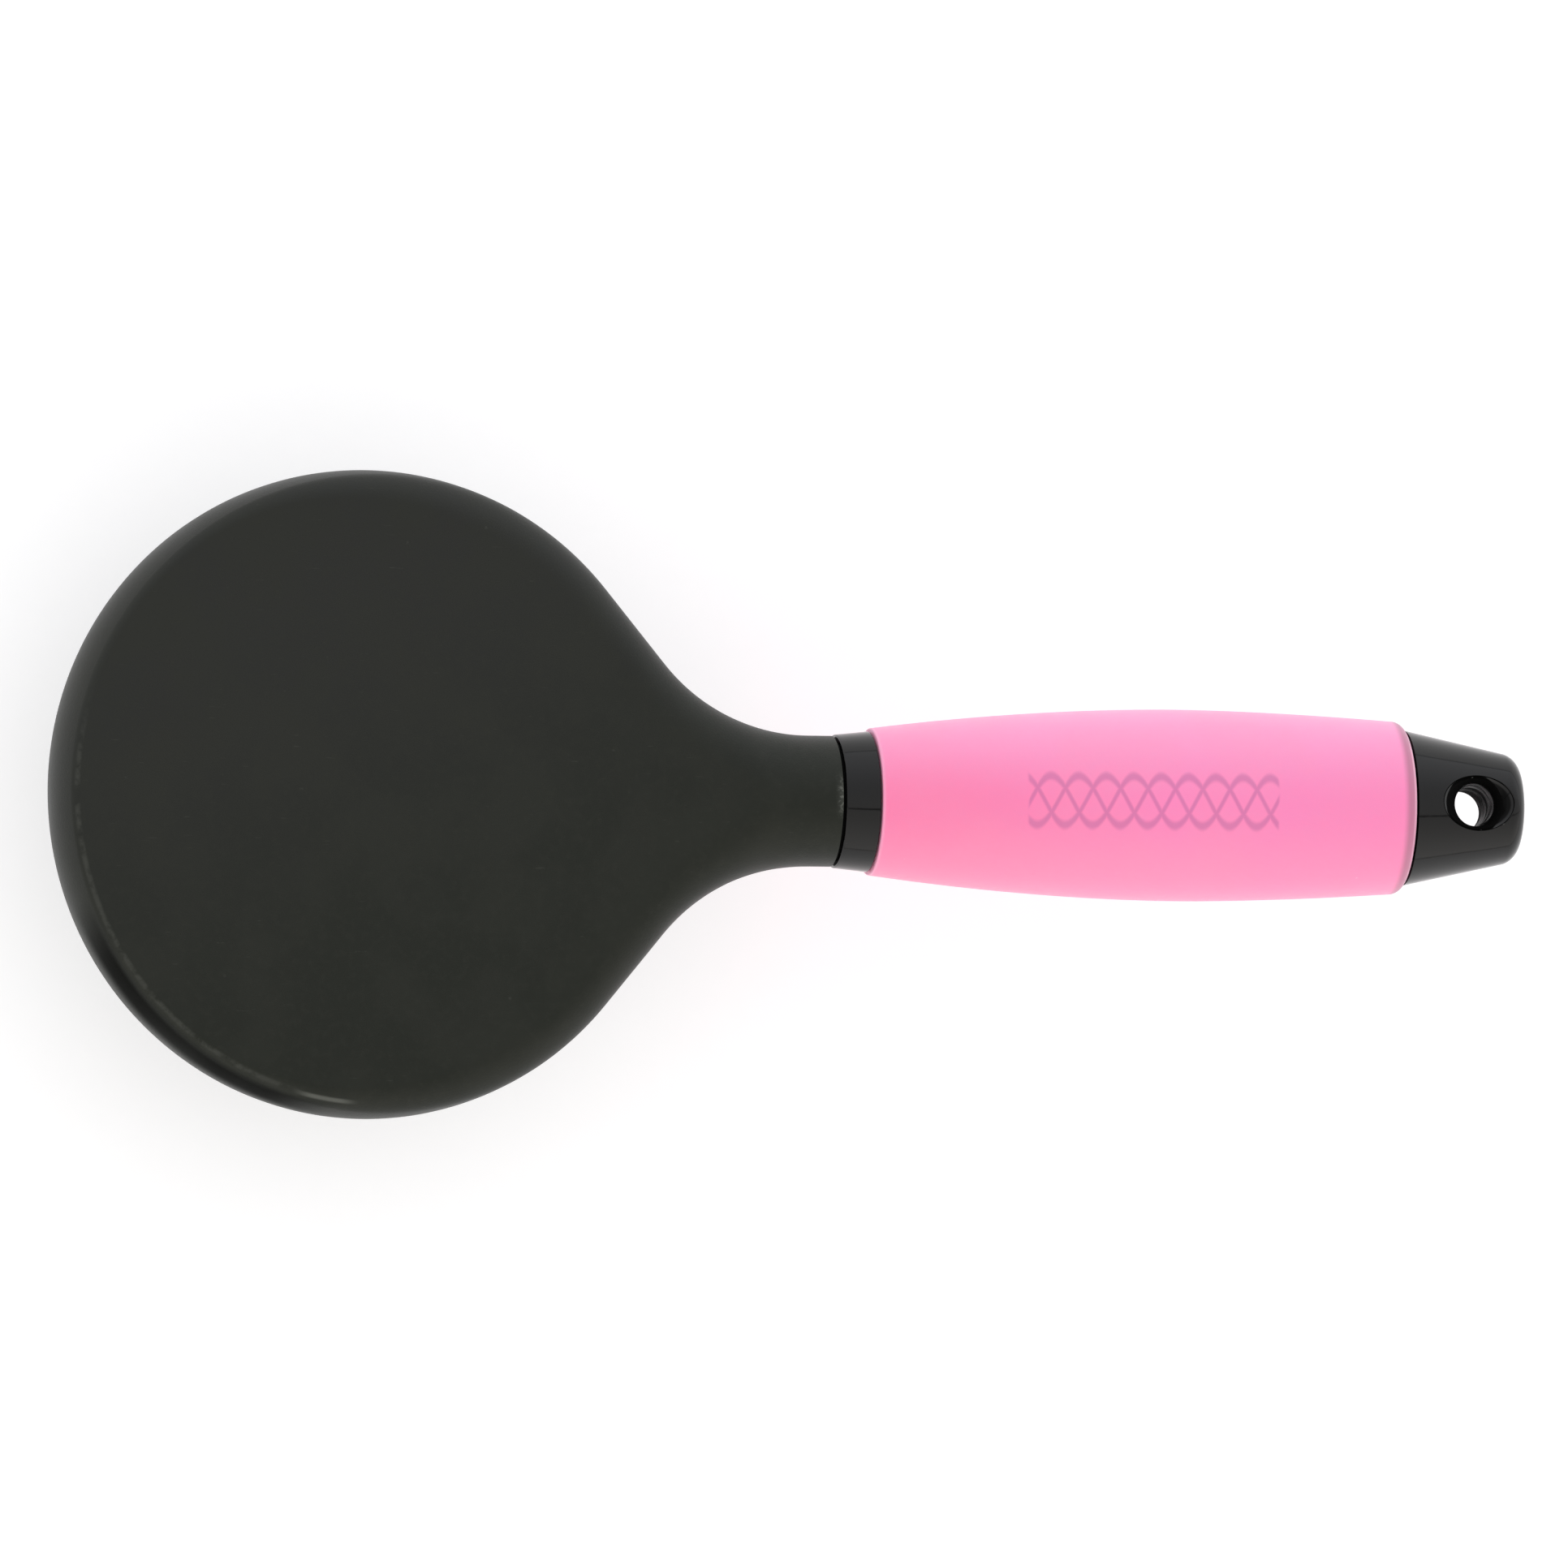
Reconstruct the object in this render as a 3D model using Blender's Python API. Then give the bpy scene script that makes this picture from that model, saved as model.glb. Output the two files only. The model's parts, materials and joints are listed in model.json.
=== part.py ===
"""Mane and tail brush: a round paddle head with an air-cushioned pin pad, on a gel-sleeved handle.

Frame: the origin is the centre of the paddle's flat back face. +Z points out of the back face, the
pins point along -Z, and +X runs along the head towards the handle. Everything mirrors about y = 0.
The handle leaves the head a few degrees upwards, which keeps the knuckles clear of the coat.

Every sub-part is its own object, and lengths are in metres. Turned pieces are described by a profile
of (along, radius) points. Their along axis is X on the handle and Z in the pad.
"""

import math

import bmesh
import bpy
from mathutils import Matrix, Vector

MM = 0.001

# ---- Driving dimensions -------------------------------------------------------------------------

# Paddle body: plan outline
HEAD_RADIUS = 52.9 * MM
SHOULDER_ANGLE = math.radians(40.0)  # where the round head turns into the straight shoulder
SHOULDER_FILLET = 32.0 * MM  # concave radius from the shoulder into the neck
NECK_RADIUS = 10.7 * MM
NECK_STRAIGHT = 3.8 * MM  # from the fillet's end to the seam
HANDLE_RISE = math.radians(4.0)

# Paddle body: thickness and edges
HEAD_THICKNESS = 14.5 * MM
SIDE_RADIUS = 13.0 * MM  # bulge of the side wall about the mid-plane
BACK_EDGE_RADIUS = 0.9 * MM
FRONT_EDGE_RADIUS = 2.0 * MM
SOFTENING_START = -45.0 * MM  # from here towards the neck the edges grow rounder

# Pocket for the pad
RIM_WIDTH = 9.3 * MM  # from the head's edge to the pad
BACK_WALL = 4.0 * MM
BEAD_RADIUS = 1.5 * MM  # rubber bead round the pad's edge, and the groove it snaps into
BEAD_DEPTH = 3.2 * MM  # from the front rim down to the bead's centre line

# Rubber pad
PAD_WALL = 1.8 * MM
PAD_PROUD = 4.5 * MM  # how far the crown stands out of the front rim
PAD_CROWN = 1.2 * MM  # dome of the pin field, centre to edge
PAD_SHOULDER = 3.5 * MM  # radius of the rolled edge round the pin field
VENT_RADIUS = 0.8 * MM

# Pins
PIN_EDGE_MARGIN = 2.5 * MM  # from the outermost pins' axes to the edge of the pin field
PIN_RINGS_SQUARED = 12  # a pin is kept where its squared distance is at most this many spacings squared
PIN_RADIUS = 0.75 * MM
PIN_EXPOSED = 22.0 * MM
PIN_TIP_RADIUS = 1.3 * MM
PIN_HEAD_RADIUS = 2.0 * MM
PIN_HEAD_HEIGHT = 0.8 * MM
BACKING_THICKNESS = 0.9 * MM

# Handle, along its own axis from the seam
SOCKET_DEPTH = 24.0 * MM
SPIGOT_RADIUS = 6.6 * MM
SNAP_RIB_HEIGHT = 0.5 * MM
SNAP_RIB_WIDTH = 2.4 * MM
SEAM_GAP = 0.5 * MM
COLLAR_LENGTH = 5.6 * MM
COLLAR_FRONT_RADIUS = 10.9 * MM
COLLAR_REAR_RADIUS = 11.5 * MM
SLEEVE_LENGTH = 89.0 * MM
SLEEVE_FRONT_RADIUS = 12.0 * MM
SLEEVE_BELLY_RADIUS = 15.65 * MM
SLEEVE_BELLY_AT = 51.0 * MM
SLEEVE_REAR_RADIUS = 14.0 * MM
SLEEVE_REAR_ROUND = 2.0 * MM
SLEEVE_FRONT_POWER = 1.85  # how the belly falls away to the front lip
SLEEVE_REAR_POWER = 1.7  # and to the rear
SLEEVE_WALL_FRONT = 3.0 * MM
SLEEVE_WALL_BELLY = 4.6 * MM
CORE_BORE_RADIUS = 5.0 * MM
CAP_PLUG_LENGTH = 18.0 * MM
CAP_PLUG_RADIUS = 6.6 * MM
CAP_FRONT_RADIUS = 12.7 * MM
CAP_CONE_LENGTH = 16.4 * MM
CAP_CONE_END_RADIUS = 9.1 * MM
CAP_NOSE_RADIUS = 3.4 * MM
CAP_CROWN = 0.9 * MM

# Hanging hole in the cap
HANG_HOLE_RADIUS = 3.4 * MM
HANG_HOLE_AT = 10.6 * MM  # from the cap's shoulder to the hole's centre
HANG_MOUTH_LENGTH = 12.6 * MM  # the flared mouth, along the handle
HANG_MOUTH_WIDTH = 9.1 * MM  # and across it
HANG_FLARE_DEPTH = 4.8 * MM
HANG_FLARE_POWER = 2.5  # how late the flare opens

GAP = 0.3 * MM  # clearance between pieces that touch
CUT = 1.0 * MM  # how far a cutter runs past the face that it opens

# ---- What follows from them ---------------------------------------------------------------------

SHOULDER_DROP = HEAD_RADIUS * math.sin(SHOULDER_ANGLE) - NECK_RADIUS
SHOULDER_LENGTH = (
    SHOULDER_DROP - SHOULDER_FILLET * (1 - math.sin(SHOULDER_ANGLE))
) / math.cos(SHOULDER_ANGLE)
FILLET_END = (HEAD_RADIUS + SHOULDER_FILLET) * math.cos(SHOULDER_ANGLE) + SHOULDER_LENGTH * math.sin(
    SHOULDER_ANGLE
)
NECK_END = FILLET_END + NECK_STRAIGHT  # the seam, along the centre line from the head's centre

PAD_RADIUS = HEAD_RADIUS - RIM_WIDTH
PIN_FIELD_RADIUS = PAD_RADIUS - PAD_SHOULDER
PIN_SPACING = (PIN_FIELD_RADIUS - PIN_EDGE_MARGIN) / math.sqrt(PIN_RINGS_SQUARED)
MID_PLANE = -HEAD_THICKNESS / 2  # the head's middle, which the handle's axis meets
FRONT_RIM = -HEAD_THICKNESS
PAD_FACE = FRONT_RIM - PAD_PROUD
POCKET_RADIUS = PAD_RADIUS + GAP
POCKET_FLOOR = -BACK_WALL
BEAD_LEVEL = FRONT_RIM + BEAD_DEPTH
BLEND_START = POCKET_RADIUS + BEAD_RADIUS + 1.5 * MM  # the body is flat up to here
SLEEVE_START = SEAM_GAP + COLLAR_LENGTH + GAP
SLEEVE_END = SLEEVE_START + SLEEVE_LENGTH
CAP_START = SLEEVE_END + GAP


def smooth(value, low, high):
    """0 below low, 1 above high, and an even S between them."""
    share = min(1.0, max(0.0, (value - low) / (high - low)))
    return share * share * (3 - 2 * share)


# ---- Mesh helpers -------------------------------------------------------------------------------


def clear_scene():
    for obj in list(bpy.data.objects):
        bpy.data.objects.remove(obj)


def material(name, colour, roughness, metallic=0.0, transmission=0.0):
    made = bpy.data.materials.new(name)
    made.use_nodes = True
    shader = made.node_tree.nodes["Principled BSDF"]
    shader.inputs["Base Color"].default_value = (*colour, 1.0)
    shader.inputs["Roughness"].default_value = roughness
    shader.inputs["Metallic"].default_value = metallic
    shader.inputs["Transmission Weight"].default_value = transmission
    return made


def finished_object(name, bm, finish, parent=None):
    """Turns a bmesh into a linked object with outward normals and smooth round faces."""
    bmesh.ops.remove_doubles(bm, verts=bm.verts, dist=0.002 * MM)
    bmesh.ops.recalc_face_normals(bm, faces=bm.faces)
    mesh = bpy.data.meshes.new(name)
    bm.to_mesh(mesh)
    bm.free()
    mesh.shade_smooth()
    mesh.set_sharp_from_angle(angle=math.radians(32))
    obj = bpy.data.objects.new(name, mesh)
    bpy.context.scene.collection.objects.link(obj)
    if finish:
        mesh.materials.append(finish)
    obj.parent = parent
    return obj


def turned_bmesh(profile, sides, axis):
    """Spins a closed (along, radius) profile once round the axis, X or Z, through the origin."""
    bm = bmesh.new()
    along, out = Vector((1, 0, 0)), Vector((0, 0, 1))
    if axis == "Z":
        along, out = out, along
    verts = [bm.verts.new(along * a + out * r) for a, r in profile]
    edges = [bm.edges.new((verts[i], verts[(i + 1) % len(verts)])) for i in range(len(verts))]
    on_axis = [e for e in edges if all((v.co - along * v.co.dot(along)).length < 1e-9 for v in e.verts)]
    bmesh.ops.delete(bm, geom=on_axis, context="EDGES")
    bmesh.ops.spin(
        bm, geom=bm.verts[:] + bm.edges[:], cent=(0, 0, 0), axis=along, angle=2 * math.pi, steps=sides
    )
    return bm


def turned(name, profile, sides, finish, axis="X", parent=None):
    return finished_object(name, turned_bmesh(profile, sides, axis), finish, parent)


def arc(centre, radius, start, end, steps):
    """Points on an arc in profile space, with angles in degrees, start and end included."""
    for i in range(steps + 1):
        angle = math.radians(start + (end - start) * i / steps)
        yield (centre[0] + radius * math.cos(angle), centre[1] + radius * math.sin(angle))


def cut(obj, cutter):
    """Takes the cutter's shape out of the object, and hides the cutter."""
    cutter.hide_render = True
    cutter.display_type = "WIRE"
    boolean = obj.modifiers.new(cutter.name, "BOOLEAN")
    boolean.operation = "DIFFERENCE"
    boolean.object = cutter


# ---- Paddle body --------------------------------------------------------------------------------


def centre_line(along):
    """The body's centre line in the XZ plane at this length along it: (x, z, heading)."""
    steps = 24
    x, z = min(along, BLEND_START), MID_PLANE
    step = (along - x) / steps
    for i in range(steps):
        heading = HANDLE_RISE * smooth(x + step / 2, BLEND_START, NECK_END - SEAM_GAP)
        x += step * math.cos(heading)
        z += step * math.sin(heading)
    return x, z, HANDLE_RISE * smooth(along, BLEND_START, NECK_END - SEAM_GAP)


def bent(point):
    """A point of the straight body, carried along with the centre line's upward bend."""
    x, z, heading = centre_line(point.x)
    height = point.z
    return Vector((x - height * math.sin(heading), point.y, z + height * math.cos(heading)))


def outline_stations():
    """Half of the plan outline from the head's tip to the seam: (point, inward normal) pairs.

    A round head, a straight shoulder that leaves it on its tangent, a concave fillet and the neck.
    """
    head_steps, shoulder_steps, fillet_steps = 36, 4, 12
    for i in range(head_steps + 1):
        angle = math.pi + (SHOULDER_ANGLE - math.pi) * i / head_steps
        out = Vector((math.cos(angle), math.sin(angle)))
        yield out * HEAD_RADIUS, -out
    out = Vector((math.cos(SHOULDER_ANGLE), math.sin(SHOULDER_ANGLE)))
    along = Vector((out.y, -out.x)) * SHOULDER_LENGTH
    for i in range(1, shoulder_steps + 1):
        yield out * HEAD_RADIUS + along * i / shoulder_steps, -out
    centre = Vector((FILLET_END, NECK_RADIUS + SHOULDER_FILLET))
    for i in range(1, fillet_steps + 1):
        angle = SHOULDER_ANGLE + (math.pi / 2 - SHOULDER_ANGLE) * i / fillet_steps
        out = Vector((math.cos(angle), math.sin(angle)))
        yield centre - out * SHOULDER_FILLET, -out
    yield Vector((NECK_END, NECK_RADIUS)), Vector((0, -1))


def half_thickness(x):
    return HEAD_THICKNESS / 2 + (NECK_RADIUS - HEAD_THICKNESS / 2) * smooth(x, BLEND_START, NECK_END)


def body_section(point, inward):
    """The section at one station, from the centre line's top round the side to its underside."""
    reach = point.y / -inward.y if inward.y < -1e-6 else HEAD_RADIUS
    side = half_thickness(point.x)
    back_share = smooth(point.x, SOFTENING_START, FILLET_END)
    back_round = BACK_EDGE_RADIUS + (side - BACK_EDGE_RADIUS) * back_share
    front_share = smooth(point.x, BLEND_START, NECK_END - SEAM_GAP)
    front_round = FRONT_EDGE_RADIUS + (side - FRONT_EDGE_RADIUS) * front_share
    bulge_share = 1 - smooth(point.x, 0, NECK_END - SEAM_GAP)
    back_steps, wall_steps, front_steps = 7, 4, 4

    def bulge(height):
        return bulge_share * (SIDE_RADIUS - math.sqrt(SIDE_RADIUS**2 - height**2))

    def at(depth, sign, drop=0.0):
        flat = point + inward * min(depth, reach)
        height = sign * (half_thickness(flat.x) - drop)
        return bent(Vector((flat.x, flat.y, height)))

    section = [at(reach, 1), at((reach + bulge(side) + back_round) / 2, 1)]
    for i in range(back_steps + 1):
        turn = math.pi / 2 * (1 - i / back_steps)
        drop = back_round * (1 - math.sin(turn))
        section.append(at(bulge(side - drop) + back_round * (1 - math.cos(turn)), 1, drop))
    for i in range(1, wall_steps):
        height = (side - back_round) * (1 - i / wall_steps) - (side - front_round) * i / wall_steps
        section.append(at(bulge(height), 1, half_thickness(point.x) - height))
    for i in range(front_steps + 1):
        turn = math.pi / 2 * i / front_steps
        drop = front_round * (1 - math.sin(turn))
        section.append(at(bulge(side - drop) + front_round * (1 - math.cos(turn)), -1, drop))
    return section + [at((reach + bulge(side) + front_round) / 2, -1), at(reach, -1)]


def body_bmesh():
    bm = bmesh.new()
    half = [body_section(point, inward) for point, inward in outline_stations()]
    other = [[Vector((p.x, -p.y, p.z)) for p in section] for section in half]
    for sections in (half, other):
        rows = [[bm.verts.new(p) for p in section] for section in sections]
        for near, far in zip(rows, rows[1:]):
            for i in range(len(near) - 1):
                bm.faces.new((near[i], near[i + 1], far[i + 1], far[i]))
    bmesh.ops.remove_doubles(bm, verts=bm.verts, dist=0.002 * MM)
    open_edges = [e for e in bm.edges if len(e.link_faces) == 1]
    bmesh.ops.contextual_create(bm, geom=open_edges)
    return bm


def pocket_profile():
    """The pad's pocket with its bead groove, as a solid of revolution about Z."""
    points = [(FRONT_RIM - CUT, 0), (FRONT_RIM - CUT, POCKET_RADIUS)]
    groove = BEAD_RADIUS + GAP
    points += arc((BEAD_LEVEL, POCKET_RADIUS), groove, 180, 0, 8)
    return points + [(POCKET_FLOOR, POCKET_RADIUS), (POCKET_FLOOR, 0)]


def socket_profile():
    """The blind socket in the neck, along the handle's axis, with a groove for the snap rib."""
    radius, rib = SPIGOT_RADIUS + GAP, SNAP_RIB_HEIGHT
    centre, reach = -SOCKET_DEPTH / 2, SNAP_RIB_WIDTH / 2 + GAP
    return [
        (CUT, 0),
        (CUT, radius),
        (centre + reach, radius),
        (centre + reach - rib, radius + rib),
        (centre - reach + rib, radius + rib),
        (centre - reach, radius),
        (-SOCKET_DEPTH - GAP, radius),
        (-SOCKET_DEPTH - GAP, 0),
    ]


def make_paddle_body(finish, handle):
    body = finished_object("paddle_body", body_bmesh(), finish)
    cut(body, turned("pocket_cutter", pocket_profile(), 60, None, axis="Z"))
    cut(body, turned("socket_cutter", socket_profile(), 32, None, parent=handle))
    return body


# ---- Pad, pins and backing ----------------------------------------------------------------------


def pad_level(radius):
    """Height of the pad's outer face at this distance from its centre, over the pin field."""
    return PAD_FACE + PAD_CROWN * (radius / PIN_FIELD_RADIUS) ** 2


def pin_places():
    """Where pins stand: a triangular grid trimmed to a round field."""
    reach = int(math.sqrt(PIN_RINGS_SQUARED)) + 1
    for row in range(-reach, reach + 1):
        for column in range(-reach, reach + 1):
            if row * row + row * column + column * column <= PIN_RINGS_SQUARED:
                x = (column + row / 2) * PIN_SPACING
                yield Vector((x, row * math.sqrt(3) / 2 * PIN_SPACING, 0))


def pad_profile():
    """The rubber diaphragm: a shallow crown, a rolled shoulder, a skirt and the bead at its edge."""
    field_steps, roll_steps = 4, 4
    face = [
        (pad_level(PIN_FIELD_RADIUS * i / field_steps), PIN_FIELD_RADIUS * i / field_steps)
        for i in range(field_steps)
    ]
    roll = PAD_SHOULDER
    edge_level = pad_level(PIN_FIELD_RADIUS)
    outer = face + list(arc((edge_level + roll, PIN_FIELD_RADIUS), roll, 180, 90, roll_steps))
    outer.append((BEAD_LEVEL - BEAD_RADIUS, PAD_RADIUS))
    outer += arc((BEAD_LEVEL, PAD_RADIUS), BEAD_RADIUS, 150, 30, 4)
    outer.append((BEAD_LEVEL + BEAD_RADIUS, PAD_RADIUS))
    inner_roll = roll - PAD_WALL
    inner = [(BEAD_LEVEL + BEAD_RADIUS, PAD_RADIUS - PAD_WALL)]
    inner += arc((edge_level + roll, PIN_FIELD_RADIUS), inner_roll, 90, 180, roll_steps)
    inner += [(level + PAD_WALL, radius) for level, radius in reversed(face)]
    return outer + inner


def make_pad(finish):
    pad = turned("cushion_pad", pad_profile(), 60, finish, axis="Z")
    for number, place in enumerate(pin_places(), 1):
        level = pad_level(place.length)
        hole = [(level - CUT, 0), (level - CUT, PIN_RADIUS + GAP / 2)]
        hole += [(level + PAD_WALL + CUT, PIN_RADIUS + GAP / 2), (level + PAD_WALL + CUT, 0)]
        cutter = turned(f"pin_hole_cutter_{number:02d}", hole, 8, None, axis="Z")
        cutter.location = place
        cut(pad, cutter)
    vent = [(PAD_FACE - CUT, 0), (PAD_FACE - CUT, VENT_RADIUS)]
    vent += [(PAD_FACE + PAD_WALL + CUT, VENT_RADIUS), (PAD_FACE + PAD_WALL + CUT, 0)]
    vent_cutter = turned("vent_cutter", vent, 12, None, axis="Z")
    vent_cutter.location = (PIN_SPACING / 2, PIN_SPACING / (2 * math.sqrt(3)), 0)
    cut(pad, vent_cutter)
    return pad


def pin_profile():
    """One pin with its flat head uppermost. Along is measured from the pad's outer face."""
    head = PAD_WALL + GAP
    tip = PIN_EXPOSED - PIN_TIP_RADIUS
    neck = math.degrees(math.asin(PIN_RADIUS / PIN_TIP_RADIUS))
    profile = [
        (head + PIN_HEAD_HEIGHT, 0),
        (head + PIN_HEAD_HEIGHT, PIN_HEAD_RADIUS),
        (head, PIN_HEAD_RADIUS),
        (head, PIN_RADIUS),
    ]
    return profile + list(arc((-tip, 0), PIN_TIP_RADIUS, neck, 180, 4))


def make_pins(finish, parent):
    mesh = None
    for number, place in enumerate(pin_places(), 1):
        name = f"pin_{number:02d}"
        if mesh is None:
            pin = turned(name, pin_profile(), 8, finish, axis="Z", parent=parent)
            mesh = pin.data
        else:
            pin = bpy.data.objects.new(name, mesh)
            bpy.context.scene.collection.objects.link(pin)
            pin.parent = parent
        pin.location = (place.x, place.y, pad_level(place.length))


def make_backing(finish, parent):
    """The thin sheet behind the pin heads, which follows the pad's crown."""
    steps = 4
    clear = PAD_WALL + GAP + PIN_HEAD_HEIGHT + GAP
    radius = PIN_FIELD_RADIUS - PAD_WALL
    radii = [radius * i / steps for i in range(steps + 1)]
    under = [(pad_level(r) + clear, r) for r in radii]
    over = [(pad_level(r) + clear + BACKING_THICKNESS, r) for r in reversed(radii)]
    return turned("pin_backing_sheet", under + over, 36, finish, axis="Z", parent=parent)


# ---- Handle -------------------------------------------------------------------------------------


def sleeve_outer(along):
    """Radius of the gel sleeve at this length from the seam: a slim front, a belly, a fuller rear."""
    belly = SLEEVE_START + SLEEVE_BELLY_AT
    if along < belly:
        share = (belly - along) / (belly - SLEEVE_START)
        return SLEEVE_BELLY_RADIUS - (SLEEVE_BELLY_RADIUS - SLEEVE_FRONT_RADIUS) * share**SLEEVE_FRONT_POWER
    share = (along - belly) / (SLEEVE_END - belly)
    return SLEEVE_BELLY_RADIUS - (SLEEVE_BELLY_RADIUS - SLEEVE_REAR_RADIUS) * share**SLEEVE_REAR_POWER


def sleeve_inner(along):
    """Radius of the sleeve's bore: the wall is thickest at the belly."""
    share = smooth(along, SLEEVE_START, SLEEVE_START + SLEEVE_BELLY_AT)
    return sleeve_outer(along) - SLEEVE_WALL_FRONT - (SLEEVE_WALL_BELLY - SLEEVE_WALL_FRONT) * share


def stations(start, end, steps):
    return [start + (end - start) * i / steps for i in range(steps + 1)]


def make_collar(finish, parent):
    front, rear, bore, ease = SEAM_GAP, SEAM_GAP + COLLAR_LENGTH, SPIGOT_RADIUS + GAP, 0.3 * MM
    profile = [
        (front, bore),
        (front, COLLAR_FRONT_RADIUS - ease),
        (front + ease, COLLAR_FRONT_RADIUS),
        (rear, COLLAR_REAR_RADIUS),
        (rear, bore),
    ]
    return turned("collar_ring", profile, 64, finish, parent=parent)


def make_core(finish, parent):
    """The stiff tube under the gel: a front spigot for the neck's socket, and a rear bore."""
    rib, centre, reach = SNAP_RIB_HEIGHT, -SOCKET_DEPTH / 2, SNAP_RIB_WIDTH / 2
    body = [(a, sleeve_inner(a) - GAP) for a in stations(SLEEVE_START, SLEEVE_END, 8)]
    bore_radius = CAP_PLUG_RADIUS + GAP
    bore_start = SLEEVE_END - CAP_PLUG_LENGTH - GAP
    profile = [
        (-SOCKET_DEPTH, CORE_BORE_RADIUS),
        (-SOCKET_DEPTH, SPIGOT_RADIUS),
        (centre - reach, SPIGOT_RADIUS),
        (centre - reach + rib, SPIGOT_RADIUS + rib),
        (centre + reach - rib, SPIGOT_RADIUS + rib),
        (centre + reach, SPIGOT_RADIUS),
        (SLEEVE_START, SPIGOT_RADIUS),
        *body,
        (SLEEVE_END, bore_radius),
        (bore_start, bore_radius),
        (bore_start, CORE_BORE_RADIUS),
    ]
    return turned("handle_core", profile, 40, finish, parent=parent)


def make_sleeve(finish, parent):
    """The gel sleeve, with a small round at its front lip and a full round at its rear."""
    lip = 0.25 * MM
    round_start = SLEEVE_END - SLEEVE_REAR_ROUND
    outer = [(SLEEVE_START, sleeve_outer(SLEEVE_START) - lip)]
    outer += [(a, sleeve_outer(a)) for a in stations(SLEEVE_START + lip, round_start, 14)]
    rear_centre = (round_start, sleeve_outer(round_start) - SLEEVE_REAR_ROUND)
    outer += list(arc(rear_centre, SLEEVE_REAR_ROUND, 90, 0, 5))[1:]
    inner = [(a, sleeve_inner(a)) for a in reversed(stations(SLEEVE_START, SLEEVE_END, 8))]
    return turned("gel_sleeve", outer + inner, 60, finish, parent=parent)


def cap_profile():
    """The end cap: a plug for the core's bore, a tapering body and a rounded, slightly domed nose."""
    slope = math.atan2(CAP_FRONT_RADIUS - CAP_CONE_END_RADIUS, CAP_CONE_LENGTH)
    cone_end = CAP_START + CAP_CONE_LENGTH
    centre = (
        cone_end - CAP_NOSE_RADIUS * math.sin(slope),
        CAP_CONE_END_RADIUS - CAP_NOSE_RADIUS * math.cos(slope),
    )
    nose = list(arc(centre, CAP_NOSE_RADIUS, 90 - math.degrees(slope), 12, 6))
    tip = (nose[-1][0] + CAP_CROWN, 0)
    plug_start, ease = SLEEVE_END - CAP_PLUG_LENGTH, 0.6 * MM
    return [
        (plug_start, 0),
        (plug_start, CAP_PLUG_RADIUS - ease),
        (plug_start + ease, CAP_PLUG_RADIUS),
        (CAP_START, CAP_PLUG_RADIUS),
        (CAP_START, CAP_FRONT_RADIUS),
        *nose,
        (nose[-1][0] + 0.75 * CAP_CROWN, nose[-1][1] / 2),
        tip,
    ]


def cap_wall(along):
    """Radius of the cap's cone at this length from the seam."""
    share = (along - CAP_START) / CAP_CONE_LENGTH
    return CAP_FRONT_RADIUS + (CAP_CONE_END_RADIUS - CAP_FRONT_RADIUS) * share


def hang_hole_bmesh():
    """A round bore across the handle that flares to an oval mouth on both sides, as one solid.

    Each ring of the flare keeps an even depth below the cap's wall, and the last ones stand clear
    of it.
    """
    bm = bmesh.new()
    at, sides, flare_steps, past = CAP_START + HANG_HOLE_AT, 28, 7, 1.2
    half_length, half_width = HANG_MOUTH_LENGTH / 2, HANG_MOUTH_WIDTH / 2
    rings = []
    for i in range(flare_steps + 1):
        share = past * i / flare_steps
        flare = share**HANG_FLARE_POWER
        long_radius = HANG_HOLE_RADIUS + (half_length - HANG_HOLE_RADIUS) * flare
        wide_radius = HANG_HOLE_RADIUS + (half_width - HANG_HOLE_RADIUS) * flare
        ring = []
        for side in range(sides):
            angle = 2 * math.pi * side / sides
            x, y = at + long_radius * math.cos(angle), wide_radius * math.sin(angle)
            wall = math.sqrt(cap_wall(x) ** 2 - y**2)
            ring.append((x, y, wall - HANG_FLARE_DEPTH * (1 - share)))
        rings.append(ring)
    rings.append([(x, y, CAP_FRONT_RADIUS + CUT) for x, y, z in rings[-1]])
    under = [[(x, y, -z) for x, y, z in ring] for ring in reversed(rings)]
    loops = [[bm.verts.new(point) for point in ring] for ring in under + rings]
    for low, high in zip(loops, loops[1:]):
        for i in range(sides):
            bm.faces.new((low[i], low[(i + 1) % sides], high[(i + 1) % sides], high[i]))
    bm.faces.new(loops[0])
    bm.faces.new(loops[-1])
    return bm


def make_cap(finish, parent):
    cap = turned("end_cap", cap_profile(), 64, finish, parent=parent)
    cut(cap, finished_object("hang_hole_cutter", hang_hole_bmesh(), None, parent=parent))
    return cap


def make_handle_axis():
    """The empty at the seam whose X axis is the handle's own axis."""
    x, z, heading = centre_line(NECK_END)
    axis = bpy.data.objects.new("handle_axis", None)
    bpy.context.scene.collection.objects.link(axis)
    axis.matrix_world = Matrix.Translation((x, 0, z)) @ Matrix.Rotation(-heading, 4, "Y")
    return axis


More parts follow.
